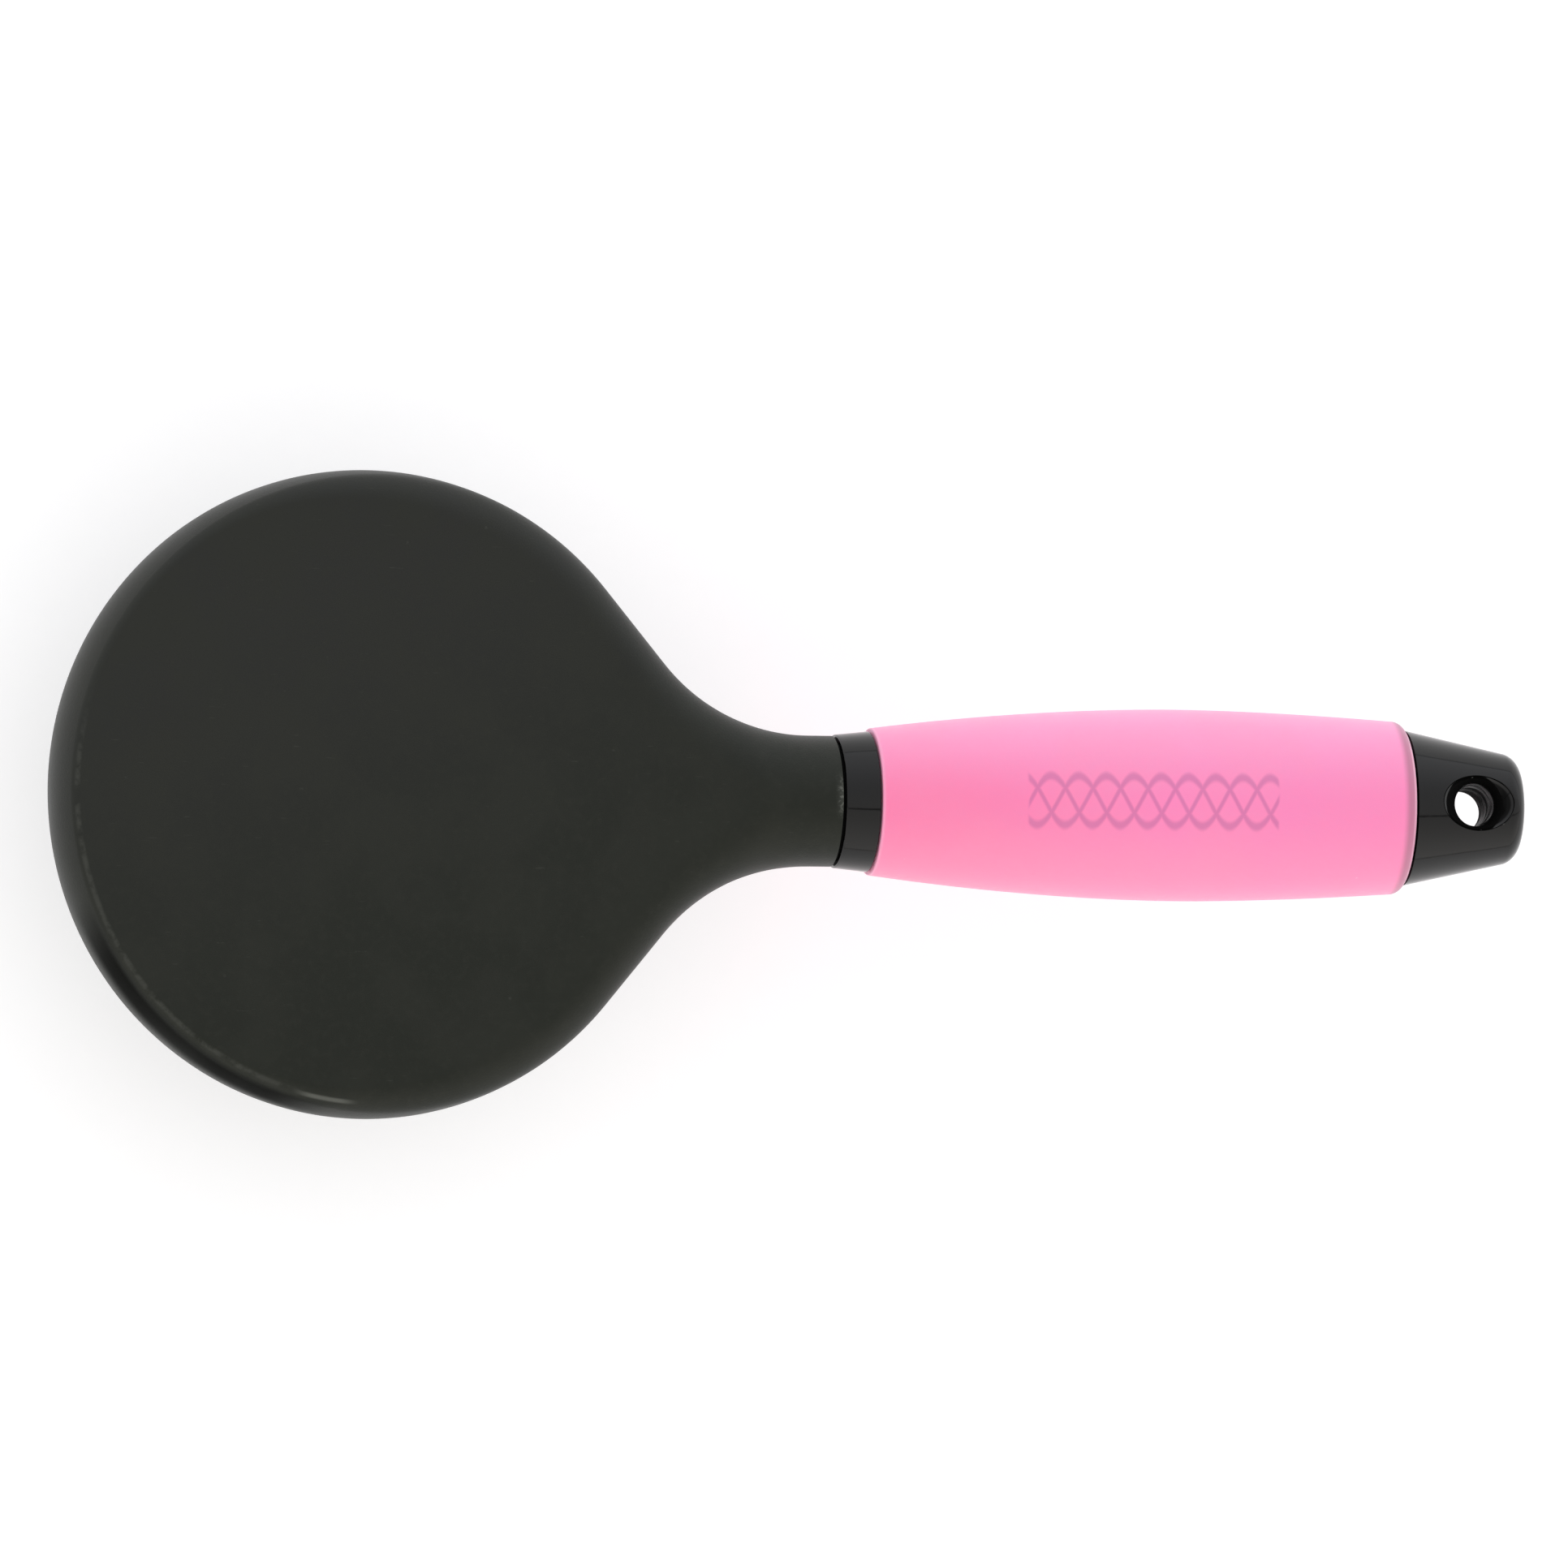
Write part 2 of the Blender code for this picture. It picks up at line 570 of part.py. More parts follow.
def main():
    clear_scene()
    soft_touch = material("soft_touch_black", (0.028, 0.03, 0.027), 0.62)
    gloss = material("gloss_black", (0.012, 0.012, 0.012), 0.08)
    gel = material("pink_gel", (1.0, 0.24, 0.47), 0.3, transmission=0.6)
    core = material("pink_core", (0.95, 0.3, 0.5), 0.45)
    rubber = material("pad_rubber", (0.02, 0.02, 0.02), 0.55)
    steel = material("pin_steel", (0.6, 0.6, 0.62), 0.25, metallic=1.0)
    felt = material("backing_felt", (0.5, 0.5, 0.48), 0.9)

    handle = make_handle_axis()
    pin_bed = bpy.data.objects.new("pin_bed", None)
    bpy.context.scene.collection.objects.link(pin_bed)

    make_paddle_body(soft_touch, handle)
    make_pad(rubber)
    make_pins(steel, pin_bed)
    make_backing(felt, pin_bed)
    make_collar(gloss, handle)
    make_core(core, handle)
    make_sleeve(gel, handle)
    make_cap(gloss, handle)


main()
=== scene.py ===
"""Looks for a mane and tail brush: paddle, air-cushioned pin pad, gel-sleeved handle and end cap."""

import json
import logging
import math
from dataclasses import dataclass, field, replace
from enum import Enum
from typing import ClassVar, Iterable, Iterator, Sequence, Union

import bmesh
import bpy
import numpy as np
from mathutils import Matrix, Vector

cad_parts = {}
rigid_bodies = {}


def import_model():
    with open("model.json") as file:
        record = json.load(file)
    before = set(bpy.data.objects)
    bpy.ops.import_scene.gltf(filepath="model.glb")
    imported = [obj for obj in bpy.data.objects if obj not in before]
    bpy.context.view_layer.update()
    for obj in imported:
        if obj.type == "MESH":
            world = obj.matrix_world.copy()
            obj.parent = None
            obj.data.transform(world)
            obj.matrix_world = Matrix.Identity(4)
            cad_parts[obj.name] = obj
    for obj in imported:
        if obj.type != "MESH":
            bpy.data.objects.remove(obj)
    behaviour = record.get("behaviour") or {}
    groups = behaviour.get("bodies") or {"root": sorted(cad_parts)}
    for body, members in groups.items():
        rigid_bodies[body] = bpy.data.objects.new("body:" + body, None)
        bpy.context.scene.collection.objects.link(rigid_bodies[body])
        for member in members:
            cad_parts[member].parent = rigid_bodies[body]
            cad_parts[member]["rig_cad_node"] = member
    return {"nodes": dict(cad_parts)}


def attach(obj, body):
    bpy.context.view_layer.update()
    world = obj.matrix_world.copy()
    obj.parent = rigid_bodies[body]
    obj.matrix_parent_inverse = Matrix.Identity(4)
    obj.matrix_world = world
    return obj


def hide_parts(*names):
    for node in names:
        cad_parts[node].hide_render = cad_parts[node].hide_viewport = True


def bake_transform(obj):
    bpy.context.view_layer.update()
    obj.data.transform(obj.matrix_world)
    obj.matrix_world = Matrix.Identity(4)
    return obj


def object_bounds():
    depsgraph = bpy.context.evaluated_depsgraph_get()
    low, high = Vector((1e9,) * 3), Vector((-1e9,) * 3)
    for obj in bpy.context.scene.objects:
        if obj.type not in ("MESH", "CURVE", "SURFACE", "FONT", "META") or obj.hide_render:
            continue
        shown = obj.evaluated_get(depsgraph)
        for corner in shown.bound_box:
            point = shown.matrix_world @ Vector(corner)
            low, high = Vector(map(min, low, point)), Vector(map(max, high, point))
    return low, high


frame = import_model()
cad_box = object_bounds()

LOG = logging.getLogger("brush")
MM = 0.001
BRUSH_BODY = "brush"
PIN_BODY = "pin_bed"

Point = tuple[float, float]
Colour = tuple[float, float, float]
Setting = Union[str, bool, int, float, list]


# ---- Shader building ----------------------------------------------------------------------------


class Wire:
    """A node's output socket that takes part in Python arithmetic by adding Math nodes."""

    def __init__(self, tree: "ShaderTree", socket: bpy.types.NodeSocket) -> None:
        """Keeps the socket and the tree that new nodes go into."""
        self.tree = tree
        self.socket = socket

    def __add__(self, other: "Value") -> "Wire":
        """Sum."""
        return self.tree.maths("ADD", self, other)

    __radd__ = __add__

    def __sub__(self, other: "Value") -> "Wire":
        """Difference."""
        return self.tree.maths("SUBTRACT", self, other)

    def __rsub__(self, other: "Value") -> "Wire":
        """Difference from a number."""
        return self.tree.maths("SUBTRACT", other, self)

    def __mul__(self, other: "Value") -> "Wire":
        """Product."""
        return self.tree.maths("MULTIPLY", self, other)

    __rmul__ = __mul__

    def __truediv__(self, other: "Value") -> "Wire":
        """Quotient."""
        return self.tree.maths("DIVIDE", self, other)

    def __rtruediv__(self, other: "Value") -> "Wire":
        """Quotient of a number by this."""
        return self.tree.maths("DIVIDE", other, self)

    def __pow__(self, other: "Value") -> "Wire":
        """Power."""
        return self.tree.maths("POWER", self, other)

    def __rpow__(self, other: "Value") -> "Wire":
        """A number to this power."""
        return self.tree.maths("POWER", other, self)

    def __abs__(self) -> "Wire":
        """Absolute value."""
        return self.tree.maths("ABSOLUTE", self)


Value = Union[Wire, float]
Input = Union[Wire, float, Sequence[float]]


class ShaderTree:
    """The node tree of a material or world, emptied and ready to be filled."""

    DULL_ROUGHNESS = 0.85
    DULL_SHINE = 0.05

    def __init__(self, owner: Union[bpy.types.Material, bpy.types.World]) -> None:
        """Switches the owner's nodes on and clears them.

        Args:
            owner: The material or world that the tree belongs to.
        """
        owner.use_nodes = True
        self.nodes = owner.node_tree.nodes
        self.links = owner.node_tree.links
        self.nodes.clear()

    def node(
        self,
        kind: str,
        inputs: dict[Union[str, int], Input] | None = None,
        **settings: Setting,
    ) -> bpy.types.Node:
        """Adds one node.

        Args:
            kind: The node's type, such as "ShaderNodeTexNoise".
            inputs: Value or link of each socket, by its name or its number.
            settings: Properties of the node, which are set first; stops fills a colour ramp.

        Returns:
            The new node.
        """
        made = self.nodes.new(kind)
        stops = settings.pop("stops", None)
        for name, value in settings.items():
            setattr(made, name, value)
        if stops:
            ramp = made.color_ramp.elements
            for index, (place, colour) in enumerate(stops):
                stop = ramp[index] if index < 2 else ramp.new(place)
                stop.position = place
                stop.color = (*colour, 1.0)
        for name, value in (inputs or {}).items():
            self.feed(made.inputs[name], value)
        return made

    def feed(self, socket: bpy.types.NodeSocket, value: Input) -> None:
        """Links a wire to a socket, or sets the socket's own value.

        Args:
            socket: The input socket.
            value: A wire, a number, or a colour or vector.
        """
        if isinstance(value, Wire):
            self.links.new(value.socket, socket)
        elif socket.type == "RGBA" and len(value) == 3:
            socket.default_value = (*value, 1.0)
        else:
            socket.default_value = value

    def wire(self, made: bpy.types.Node, output: Union[str, int] = 0) -> Wire:
        """Wraps one of a node's outputs."""
        return Wire(self, made.outputs[output])

    def maths(self, operation: str, *values: Value, clamp: bool = False) -> Wire:
        """Adds a Math node on values and wires."""
        inputs = dict(enumerate(values))
        return self.wire(self.node("ShaderNodeMath", inputs, operation=operation, use_clamp=clamp))

    def mix(self, share: Value, low: Input, high: Input) -> Wire:
        """Mixes two colours.

        Args:
            share: How much of high shows, from 0 to 1.
            low: The colour at 0.
            high: The colour at 1.

        Returns:
            The mixed colour.
        """
        inputs = {"Factor": share, 6: low, 7: high}
        return self.wire(self.node("ShaderNodeMix", inputs, data_type="RGBA"), 2)

    def ease(self, value: Value, low: float, high: float, start: float = 0.0, end: float = 1.0) -> Wire:
        """Maps low..high to start..end along a smooth step, and holds the ends."""
        inputs = {0: value, 1: low, 2: high, 3: start, 4: end}
        return self.wire(self.node("ShaderNodeMapRange", inputs, interpolation_type="SMOOTHSTEP"))

    def band(self, value: Wire, centre: float, half: float, soft: float) -> Wire:
        """1 where the value lies within half of the centre, falling to 0 over soft."""
        return self.ease(abs(value - centre), half, half + soft, 1.0, 0.0)

    def coordinates(self, output: str = "Object") -> Wire:
        """The surface's own coordinates, in metres."""
        return self.wire(self.node("ShaderNodeTexCoord"), output)

    def axes(self, vector: Wire) -> tuple[Wire, Wire, Wire]:
        """Splits a vector into its three parts."""
        made = self.node("ShaderNodeSeparateXYZ", {0: vector})
        return self.wire(made, 0), self.wire(made, 1), self.wire(made, 2)

    def noise(self, vector: Wire, size: float, detail: float = 2.0, roughness: float = 0.5) -> Wire:
        """Noise from 0 to 1 whose blobs are about this many metres wide."""
        inputs = {"Vector": vector, "Scale": 1.0 / size, "Detail": detail, "Roughness": roughness}
        return self.wire(self.node("ShaderNodeTexNoise", inputs), "Fac")

    def cells(self, vector: Wire, size: float) -> Wire:
        """Distance to the nearest of a scatter of points that lie about this many metres apart."""
        inputs = {"Vector": vector, "Scale": 1.0 / size}
        return self.wire(self.node("ShaderNodeTexVoronoi", inputs), "Distance")

    def stretch(self, vector: Wire, factors: Sequence[float]) -> Wire:
        """Scales a vector along each axis."""
        inputs = {0: vector, 1: factors}
        return self.wire(self.node("ShaderNodeVectorMath", inputs, operation="MULTIPLY"))

    def bump(self, height: Value, depth: float, below: Wire | None = None) -> Wire:
        """Turns a height into a normal.

        Args:
            height: The height, from 0 to 1.
            depth: The relief's depth in metres.
            below: A normal that the relief is added to.

        Returns:
            The normal.
        """
        inputs: dict[Union[str, int], Input] = {"Height": height, "Distance": depth}
        if below:
            inputs["Normal"] = below
        return self.wire(self.node("ShaderNodeBump", inputs), "Normal")

    def shader(self, **inputs: Input) -> Wire:
        """Adds a Principled shader; an argument such as Base_Color names its socket."""
        named = {name.replace("_", " "): value for name, value in inputs.items()}
        return self.wire(self.node("ShaderNodeBsdfPrincipled", named))

    def surface(self, **inputs: Input) -> None:
        """Ends a material in one Principled shader."""
        self.node("ShaderNodeOutputMaterial", {"Surface": self.shader(**inputs)})

    def dulled(self, share: Wire, colour: Colour, **inputs: Input) -> None:
        """Ends a material in a Principled shader that turns matt and near black, a little where dust lies
        and fully where shade is painted.

        Args:
            share: How dull the surface is, from 0 to 1.
            colour: The dull colour.
            inputs: The glossier shader's sockets, as for shader.
        """
        shine = self.shader(**inputs)
        dull = self.shader(
            Base_Color=colour,
            Roughness=self.DULL_ROUGHNESS,
            Specular_IOR_Level=self.DULL_SHINE,
        )
        made = self.node("ShaderNodeMixShader", {0: share, 1: shine, 2: dull})
        self.node("ShaderNodeOutputMaterial", {"Surface": self.wire(made)})


# ---- Finishes -----------------------------------------------------------------------------------


@dataclass(frozen=True)
class Finish:
    """What every finish has: a name for its material, a slot name and a frame of its own.

    The frame's X axis leaves origin at heading, an angle above the world's X axis.
    """

    name: str
    slot: str
    origin: tuple[float, float, float] = (0.0, 0.0, 0.0)
    heading: float = 0.0

    def material(self) -> bpy.types.Material:
        """Makes the material, or finds it where it is made already.

        Returns:
            The material.
        """
        made = bpy.data.materials.get(self.name)
        if made is None:
            made = bpy.data.materials.new(self.name)
            self.paint(ShaderTree(made))
        return made

    def place(self, tree: ShaderTree) -> Wire:
        """Finds a surface point's place in the finish's own frame.

        Args:
            tree: The material's tree.

        Returns:
            The place, in metres.
        """
        place = tree.coordinates()
        if not self.heading:
            return place
        shifted = {0: place, 1: self.origin}
        place = tree.wire(tree.node("ShaderNodeVectorMath", shifted, operation="SUBTRACT"))
        turned = {"Vector": place, "Angle": self.heading}
        return tree.wire(tree.node("ShaderNodeVectorRotate", turned, rotation_type="Y_AXIS"))

    def paint(self, tree: ShaderTree) -> None:
        """Fills the material's node tree.

        Args:
            tree: The empty tree.
        """
        raise NotImplementedError

    def dress(self, obj: bpy.types.Object) -> None:
        """Gives an object this finish in place of all that it has.

        Args:
            obj: The object, which may be a CAD node.
        """
        obj.data.materials.clear()
        obj.data.materials.append(self.material())


@dataclass(frozen=True)
class SoftTouch(Finish):
    """Matte black soft-touch plastic: mottled, finely grained, rubbed along one side of its back edge.

    Painted light on it: painted shade that darkens the colour towards the head's bottom side, a band
    of painted shade on the wall outside the back edge, and a painted glint on that edge.

    edge_radius is the back edge's distance from the head's centre, and seam_along is where the neck
    ends. The rubbed stretch of the edge faces rubbed_to, and the painted shade band on the wall faces
    a second direction; both are unit vectors in plan. The sizes are those of the colour's patches and
    the grain.
    """

    edge_radius: float = 50.3 * MM
    seam_along: float = 78.2 * MM
    rubbed_to: Point = (-0.86, -0.51)
    # The head's colour runs from the first colour below at its top to the second, darker and greener, at
    # its bottom: painted shade.
    upper: Colour = (0.0078, 0.0084, 0.0073)
    shaded_lower: Colour = (0.0014, 0.0029, 0.0002)
    blotch: Colour = (0.0088, 0.0098, 0.0062)
    worn: Colour = (0.05, 0.052, 0.045)
    # Pale colour of the neck's scuffed lip, and also of the painted glint on the back edge.
    scuff_and_glint: Colour = (0.12, 0.125, 0.11)
    # Colour of the painted shade band on the wall outside the back edge, and the direction that band
    # faces.
    painted_shade: Colour = (0.0012, 0.0013, 0.001)
    shade_to: Point = (-0.62, -0.785)
    cloud_size: float = 16 * MM
    mottle_size: float = 1.6 * MM
    grain_size: float = 0.28 * MM
    patch_size: float = 3.2 * MM
    relief: float = 0.03 * MM

    def paint(self, tree: ShaderTree) -> None:
        """Fills the material's node tree.

        Args:
            tree: The empty tree.
        """
        place = tree.coordinates()
        x, y, z = tree.axes(place)
        cloud = tree.noise(place, self.cloud_size, 3)
        mottle = tree.noise(place, self.mottle_size, 4, 0.6)
        grain = tree.noise(place, self.grain_size, 2)
        patches = tree.noise(place, self.patch_size, 4, 0.65)
        # Painted shade: the colour darkens and turns greener towards the head's bottom side, along a
        # cloudy line.
        tint = tree.ease(y - x * 0.35 + self.cloud_size * (cloud - 0.5), -40 * MM, 40 * MM)
        base = tree.mix(tint, self.shaded_lower, self.upper)
        base = tree.mix(tree.ease(cloud, 0.4, 0.62, 0, 0.4), base, self.blotch)
        base = tree.mix(tree.ease(mottle, 0.45, 0.7, 0, 0.35), base, self.blotch)

        from_centre = tree.maths("SQRT", x * x + y * y)
        facing = (x * self.rubbed_to[0] + y * self.rubbed_to[1]) / from_centre
        rubbed = tree.ease(patches, 0.36, 0.6) * tree.ease(facing, 0.62, 0.85)
        edge = tree.band(from_centre, self.edge_radius, 0.1 * MM, 0.5 * MM)
        edge_wear = edge * tree.ease(z, -1.2 * MM, -0.4 * MM) * rubbed
        # Painted glint: a small bright arc on the back edge at the bottom of the head, where a highlight
        # falls.
        painted_glint = tree.band(from_centre, self.edge_radius + 0.25 * MM, 0.1 * MM, 0.4 * MM)
        painted_glint = painted_glint * tree.band(x, -8 * MM, 2 * MM, 4 * MM) * tree.ease(y, -20 * MM, -40 * MM)
        lip = tree.ease(x, self.seam_along - 1.6 * MM, self.seam_along)
        lip = lip * tree.band(y, 0.5 * MM, 0.4 * MM, 4 * MM) * tree.ease(z, 0, 3 * MM)
        chips = tree.ease(tree.noise(place, 0.5 * MM, 3), 0.5, 0.66)
        specks = tree.ease(tree.cells(place, 7 * MM), 0.03, 0.06, 1, 0)
        hairline = tree.noise(tree.stretch(place, (0.05, 1, 1)), 0.3 * MM, 2)
        hairline = tree.ease(hairline, 0.66, 0.74) * tree.ease(patches, 0.52, 0.62)
        base = tree.mix(hairline * 0.25, base, self.worn)
        base = tree.mix(specks * tree.ease(mottle, 0.5, 0.62) * 0.25, base, self.worn)
        base = tree.mix(edge_wear * 0.5, base, self.worn)
        base = tree.mix(lip * (0.25 + 0.75 * chips), base, self.scuff_and_glint)
        base = tree.mix(painted_glint * 0.6, base, self.scuff_and_glint)

        # Painted shade: a dark matt band on the wall just outside the back edge, on the side facing bottom
        # left.
        shade_side = (x * self.shade_to[0] + y * self.shade_to[1]) / from_centre
        outside = tree.ease(from_centre, self.edge_radius + 0.5 * MM, self.edge_radius + 1.5 * MM)
        below = tree.ease(z, -7.5 * MM, -4 * MM)
        painted_shade = tree.ease(shade_side, 0.84, 0.95) * outside * below * (0.7 + 0.3 * cloud)
        tree.dulled(
            painted_shade,
            self.painted_shade,
            Base_Color=base,
            Roughness=0.34 + 0.12 * cloud + 0.08 * grain + 0.14 * edge_wear,
            Specular_IOR_Level=0.32,
            Specular_Tint=(0.98, 1.0, 0.93),
            Normal=tree.bump(grain + mottle * 0.6, self.relief),
        )


@dataclass(frozen=True)
class Polished(Finish):
    """Glossy black plastic with hairline polish marks and a little dust.

    What lies outside ends, along the piece, turns matt and near black as painted shade in the seams,
    and so does a hole across the piece inside its rim, as painted shade in the hole. hole_at is the
    hole's place along the piece, hole_half its rim's half length and half width, and hole_turn how
    far the piece is turned round its own axis.
    """

    colour: Colour = (0.0026, 0.0026, 0.0025)
    dusty: Colour = (0.12, 0.12, 0.12)
    scratch_width: float = 0.35 * MM
    scratch_depth: float = 0.0012 * MM
    wave_size: float = 9 * MM
    wave_depth: float = 0.05 * MM
    haze_size: float = 6 * MM
    dust_spacing: float = 3.4 * MM
    ends: Point = (0.0, 0.0)
    hole_at: float = 0.0
    hole_half: Point = (0.0, 0.0)
    hole_turn: float = 0.0

    def paint(self, tree: ShaderTree) -> None:
        """Fills the material's node tree.

        Args:
            tree: The empty tree.
        """
        place = self.place(tree)
        x, y, z = tree.axes(place)
        lines = tree.noise(tree.stretch(place, (0.12, 1, 1)), self.scratch_width, 3)
        haze = tree.noise(place, self.haze_size, 3)
        dust = tree.ease(tree.cells(place, self.dust_spacing), 0.03, 0.055, 1, 0)
        dust = dust * tree.ease(tree.noise(place, 2.5 * MM), 0.5, 0.62)
        wave = tree.bump(tree.noise(place, self.wave_size, 1), self.wave_depth)
        start, end = self.ends
        # Painted shade: outside ends the surface turns matt and near black, standing for the shade in the
        # seams there.
        tongue = 1 - tree.band(x, (start + end) / 2, (end - start) / 2, 0.02 * MM)
        dull = tree.maths("MAXIMUM", dust * 0.2, tongue)
        if self.hole_at:
            across = y * math.cos(self.hole_turn) + z * math.sin(self.hole_turn)
            off_x, off_y = (x - self.hole_at) / self.hole_half[0], across / self.hole_half[1]
            # Painted shade: inside the hole's rim the surface turns matt and near black, with faint rings.
            rings = tree.ease(tree.noise(tree.stretch(place, (0.2, 0.2, 1)), 1.1 * MM, 2), 0.4, 0.7)
            mouth = tree.ease(tree.maths("SQRT", off_x**2 + off_y**2), 0.94, 1.0, 1, 0)
            dull = tree.maths("MAXIMUM", mouth * (1 - 0.2 * rings), tongue)
        tree.dulled(
            dull,
            self.colour,
            Base_Color=tree.mix(dust * 0.5, self.colour, self.dusty),
            Roughness=0.05 + 0.05 * haze + 0.04 * tree.ease(lines, 0.5, 0.7) + 0.3 * dust,
            Specular_IOR_Level=0.32,
            Normal=tree.bump(lines, self.scratch_depth, wave),
        )


@dataclass(frozen=True)
class Gel(Finish):
    """Translucent pink gel: milky, with a plain plait printed beneath it. Painted light makes one flank
    cooler and the other warmer, and paler painted edge light lines both lips.

    Lengths run along the sleeve from its front lip. The rear lip has no core behind it.
    """

    length: float = 89 * MM
    front: Colour = (0.95, 0.225, 0.43)
    rear: Colour = (0.95, 0.25, 0.51)
    # Painted light on the flanks: the first colour below makes the top flank cooler and paler, the second
    # makes the bottom flank warmer and also gives the gel its cloudy tone.
    cool_painted_light: Colour = (0.95, 0.37, 0.61)
    warm_light_and_tone: Colour = (0.95, 0.3, 0.47)
    hollow: Colour = (0.42, 0.17, 0.25)
    # Colour of the lint, and also of the painted edge light at both lips.
    pale: Colour = (0.95, 0.5, 0.65)
    ink: Colour = (0.36, 0.1, 0.29)
    plait_start: float = 24 * MM
    plait_end: float = 65 * MM
    plait_waves: int = 3
    plait_reach: float = 4.0 * MM
    cloud_size: float = 18 * MM
    smear_size: float = 5 * MM
    lint_spacing: float = 6 * MM
    relief: float = 0.03 * MM
    strand_half: float = 0.2 * MM
    strand_blur: float = 0.9 * MM

    def plait(self, tree: ShaderTree, along: Wire, across: Wire, up: Wire) -> Wire:
        """The print: three strands that cross, blurred by the gel above them.

        Args:
            tree: The material's tree.
            along: Distance from the sleeve's front lip.
            across: Distance to the side of the sleeve's top line.
            up: Height above the handle's axis.

        Returns:
            How much ink shows, from 0 to 1.
        """
        turn = 2 * math.pi * self.plait_waves / (self.plait_end - self.plait_start)
        strands = []
        for strand in range(3):
            phase = (along - self.plait_start) * turn + strand * 2 * math.pi / 3
            path = tree.maths("SINE", phase) * self.plait_reach
            blurred = self.strand_half + self.strand_blur
            strands.append(tree.ease(abs(across - path), self.strand_half, blurred, 1, 0))
        ink = tree.maths("MAXIMUM", tree.maths("MAXIMUM", strands[0], strands[1]), strands[2])
        middle = (self.plait_start + self.plait_end) / 2
        half = (self.plait_end - self.plait_start) / 2
        return ink * tree.band(along, middle, half, 0.6 * MM) * tree.ease(up, 0, 4 * MM)

    def paint(self, tree: ShaderTree) -> None:
        """Fills the material's node tree.

        Args:
            tree: The empty tree.
        """
        place = self.place(tree)
        along, across, up = tree.axes(place)
        cloud = tree.noise(place, self.cloud_size, 2)
        base = tree.mix(tree.ease(along, 0, 0.6 * self.length), self.front, self.rear)
        # Painted light: the top flank turns cooler and paler, the bottom flank warmer.
        base = tree.mix(tree.ease(across, -1 * MM, 14 * MM, 0, 0.75), base, self.cool_painted_light)
        base = tree.mix(tree.ease(across, 1 * MM, -13 * MM, 0, 0.5), base, self.warm_light_and_tone)
        base = tree.mix(tree.ease(cloud, 0.4, 0.65, 0, 0.2), base, self.warm_light_and_tone)
        ink = self.plait(tree, along, across, up)
        base = tree.mix(ink * 0.42, base, self.ink)
        # Painted edge light: the gel turns paler in a thin line at its front lip.
        lip = tree.ease(along, 0.6 * MM, 0.1 * MM)
        base = tree.mix(lip * 0.35, base, self.pale)
        over = tree.ease(along, self.length - 2.6 * MM, self.length - 1.3 * MM)
        base = tree.mix(over * 0.8, base, self.hollow)
        # Painted edge light: a paler, cloudy line along the very end of the rear lip.
        rim = tree.ease(along, self.length - 0.75 * MM, self.length - 0.4 * MM)
        base = tree.mix(rim * tree.ease(cloud, 0.35, 0.6, 0.5, 1.0), base, self.pale)
        smear = tree.noise(tree.stretch(place, (0.5, 1, 1)), self.smear_size, 3)
        lint = tree.ease(tree.cells(place, self.lint_spacing), 0.02, 0.04, 1, 0)
        lint = lint * tree.ease(smear, 0.5, 0.6)
        tree.surface(
            Base_Color=tree.mix(lint * 0.5, base, self.pale),
            Roughness=0.34 + 0.14 * smear + 0.2 * lint,
            Specular_IOR_Level=0.35,
            Subsurface_Weight=0.25,
            Subsurface_Radius=(1.0, 0.35, 0.5),
            Subsurface_Scale=1.5 * MM,
            Sheen_Weight=0.3,
            Sheen_Roughness=0.45,
            Sheen_Tint=(1.0, 0.75, 0.88),
            Normal=tree.bump(tree.noise(place, 0.8 * MM, 3) + smear, self.relief),
        )


@dataclass(frozen=True)
class Moulding(Finish):
    """Semi-gloss coloured plastic with faint flow marks along its length."""

    colour: Colour = (0.9, 0.26, 0.45)
    flow_size: float = 4 * MM
    relief: float = 0.01 * MM

    def paint(self, tree: ShaderTree) -> None:
        """Fills the material's node tree.

        Args:
            tree: The empty tree.
        """
        place = tree.coordinates()
        flow = tree.noise(tree.stretch(place, (0.2, 1, 1)), self.flow_size, 3)
        tree.surface(
            Base_Color=tree.mix(tree.ease(flow, 0.4, 0.7), self.colour, [c * 0.9 for c in self.colour]),
            Roughness=0.3 + 0.15 * flow,
            Normal=tree.bump(flow, self.relief),
        )


@dataclass(frozen=True)
class Rubber(Finish):
    """Matte black rubber with a fine blast texture and pale dust that gathers in patches."""

    colour: Colour = (0.013, 0.013, 0.0135)
    dusty: Colour = (0.09, 0.085, 0.08)
    blast_size: float = 0.22 * MM
    patch_size: float = 7 * MM
    relief: float = 0.03 * MM

    def paint(self, tree: ShaderTree) -> None:
        """Fills the material's node tree.

        Args:
            tree: The empty tree.
        """
        place = tree.coordinates()
        blast = tree.noise(place, self.blast_size, 2)
        patch = tree.noise(place, self.patch_size, 4, 0.6)
        dust = tree.ease(patch, 0.5, 0.72) * tree.ease(blast, 0.4, 0.7)
        tree.surface(
            Base_Color=tree.mix(dust * 0.35, self.colour, self.dusty),
            Roughness=0.55 + 0.2 * patch + 0.1 * dust,
            Specular_IOR_Level=0.4,
            Normal=tree.bump(blast, self.relief),
        )


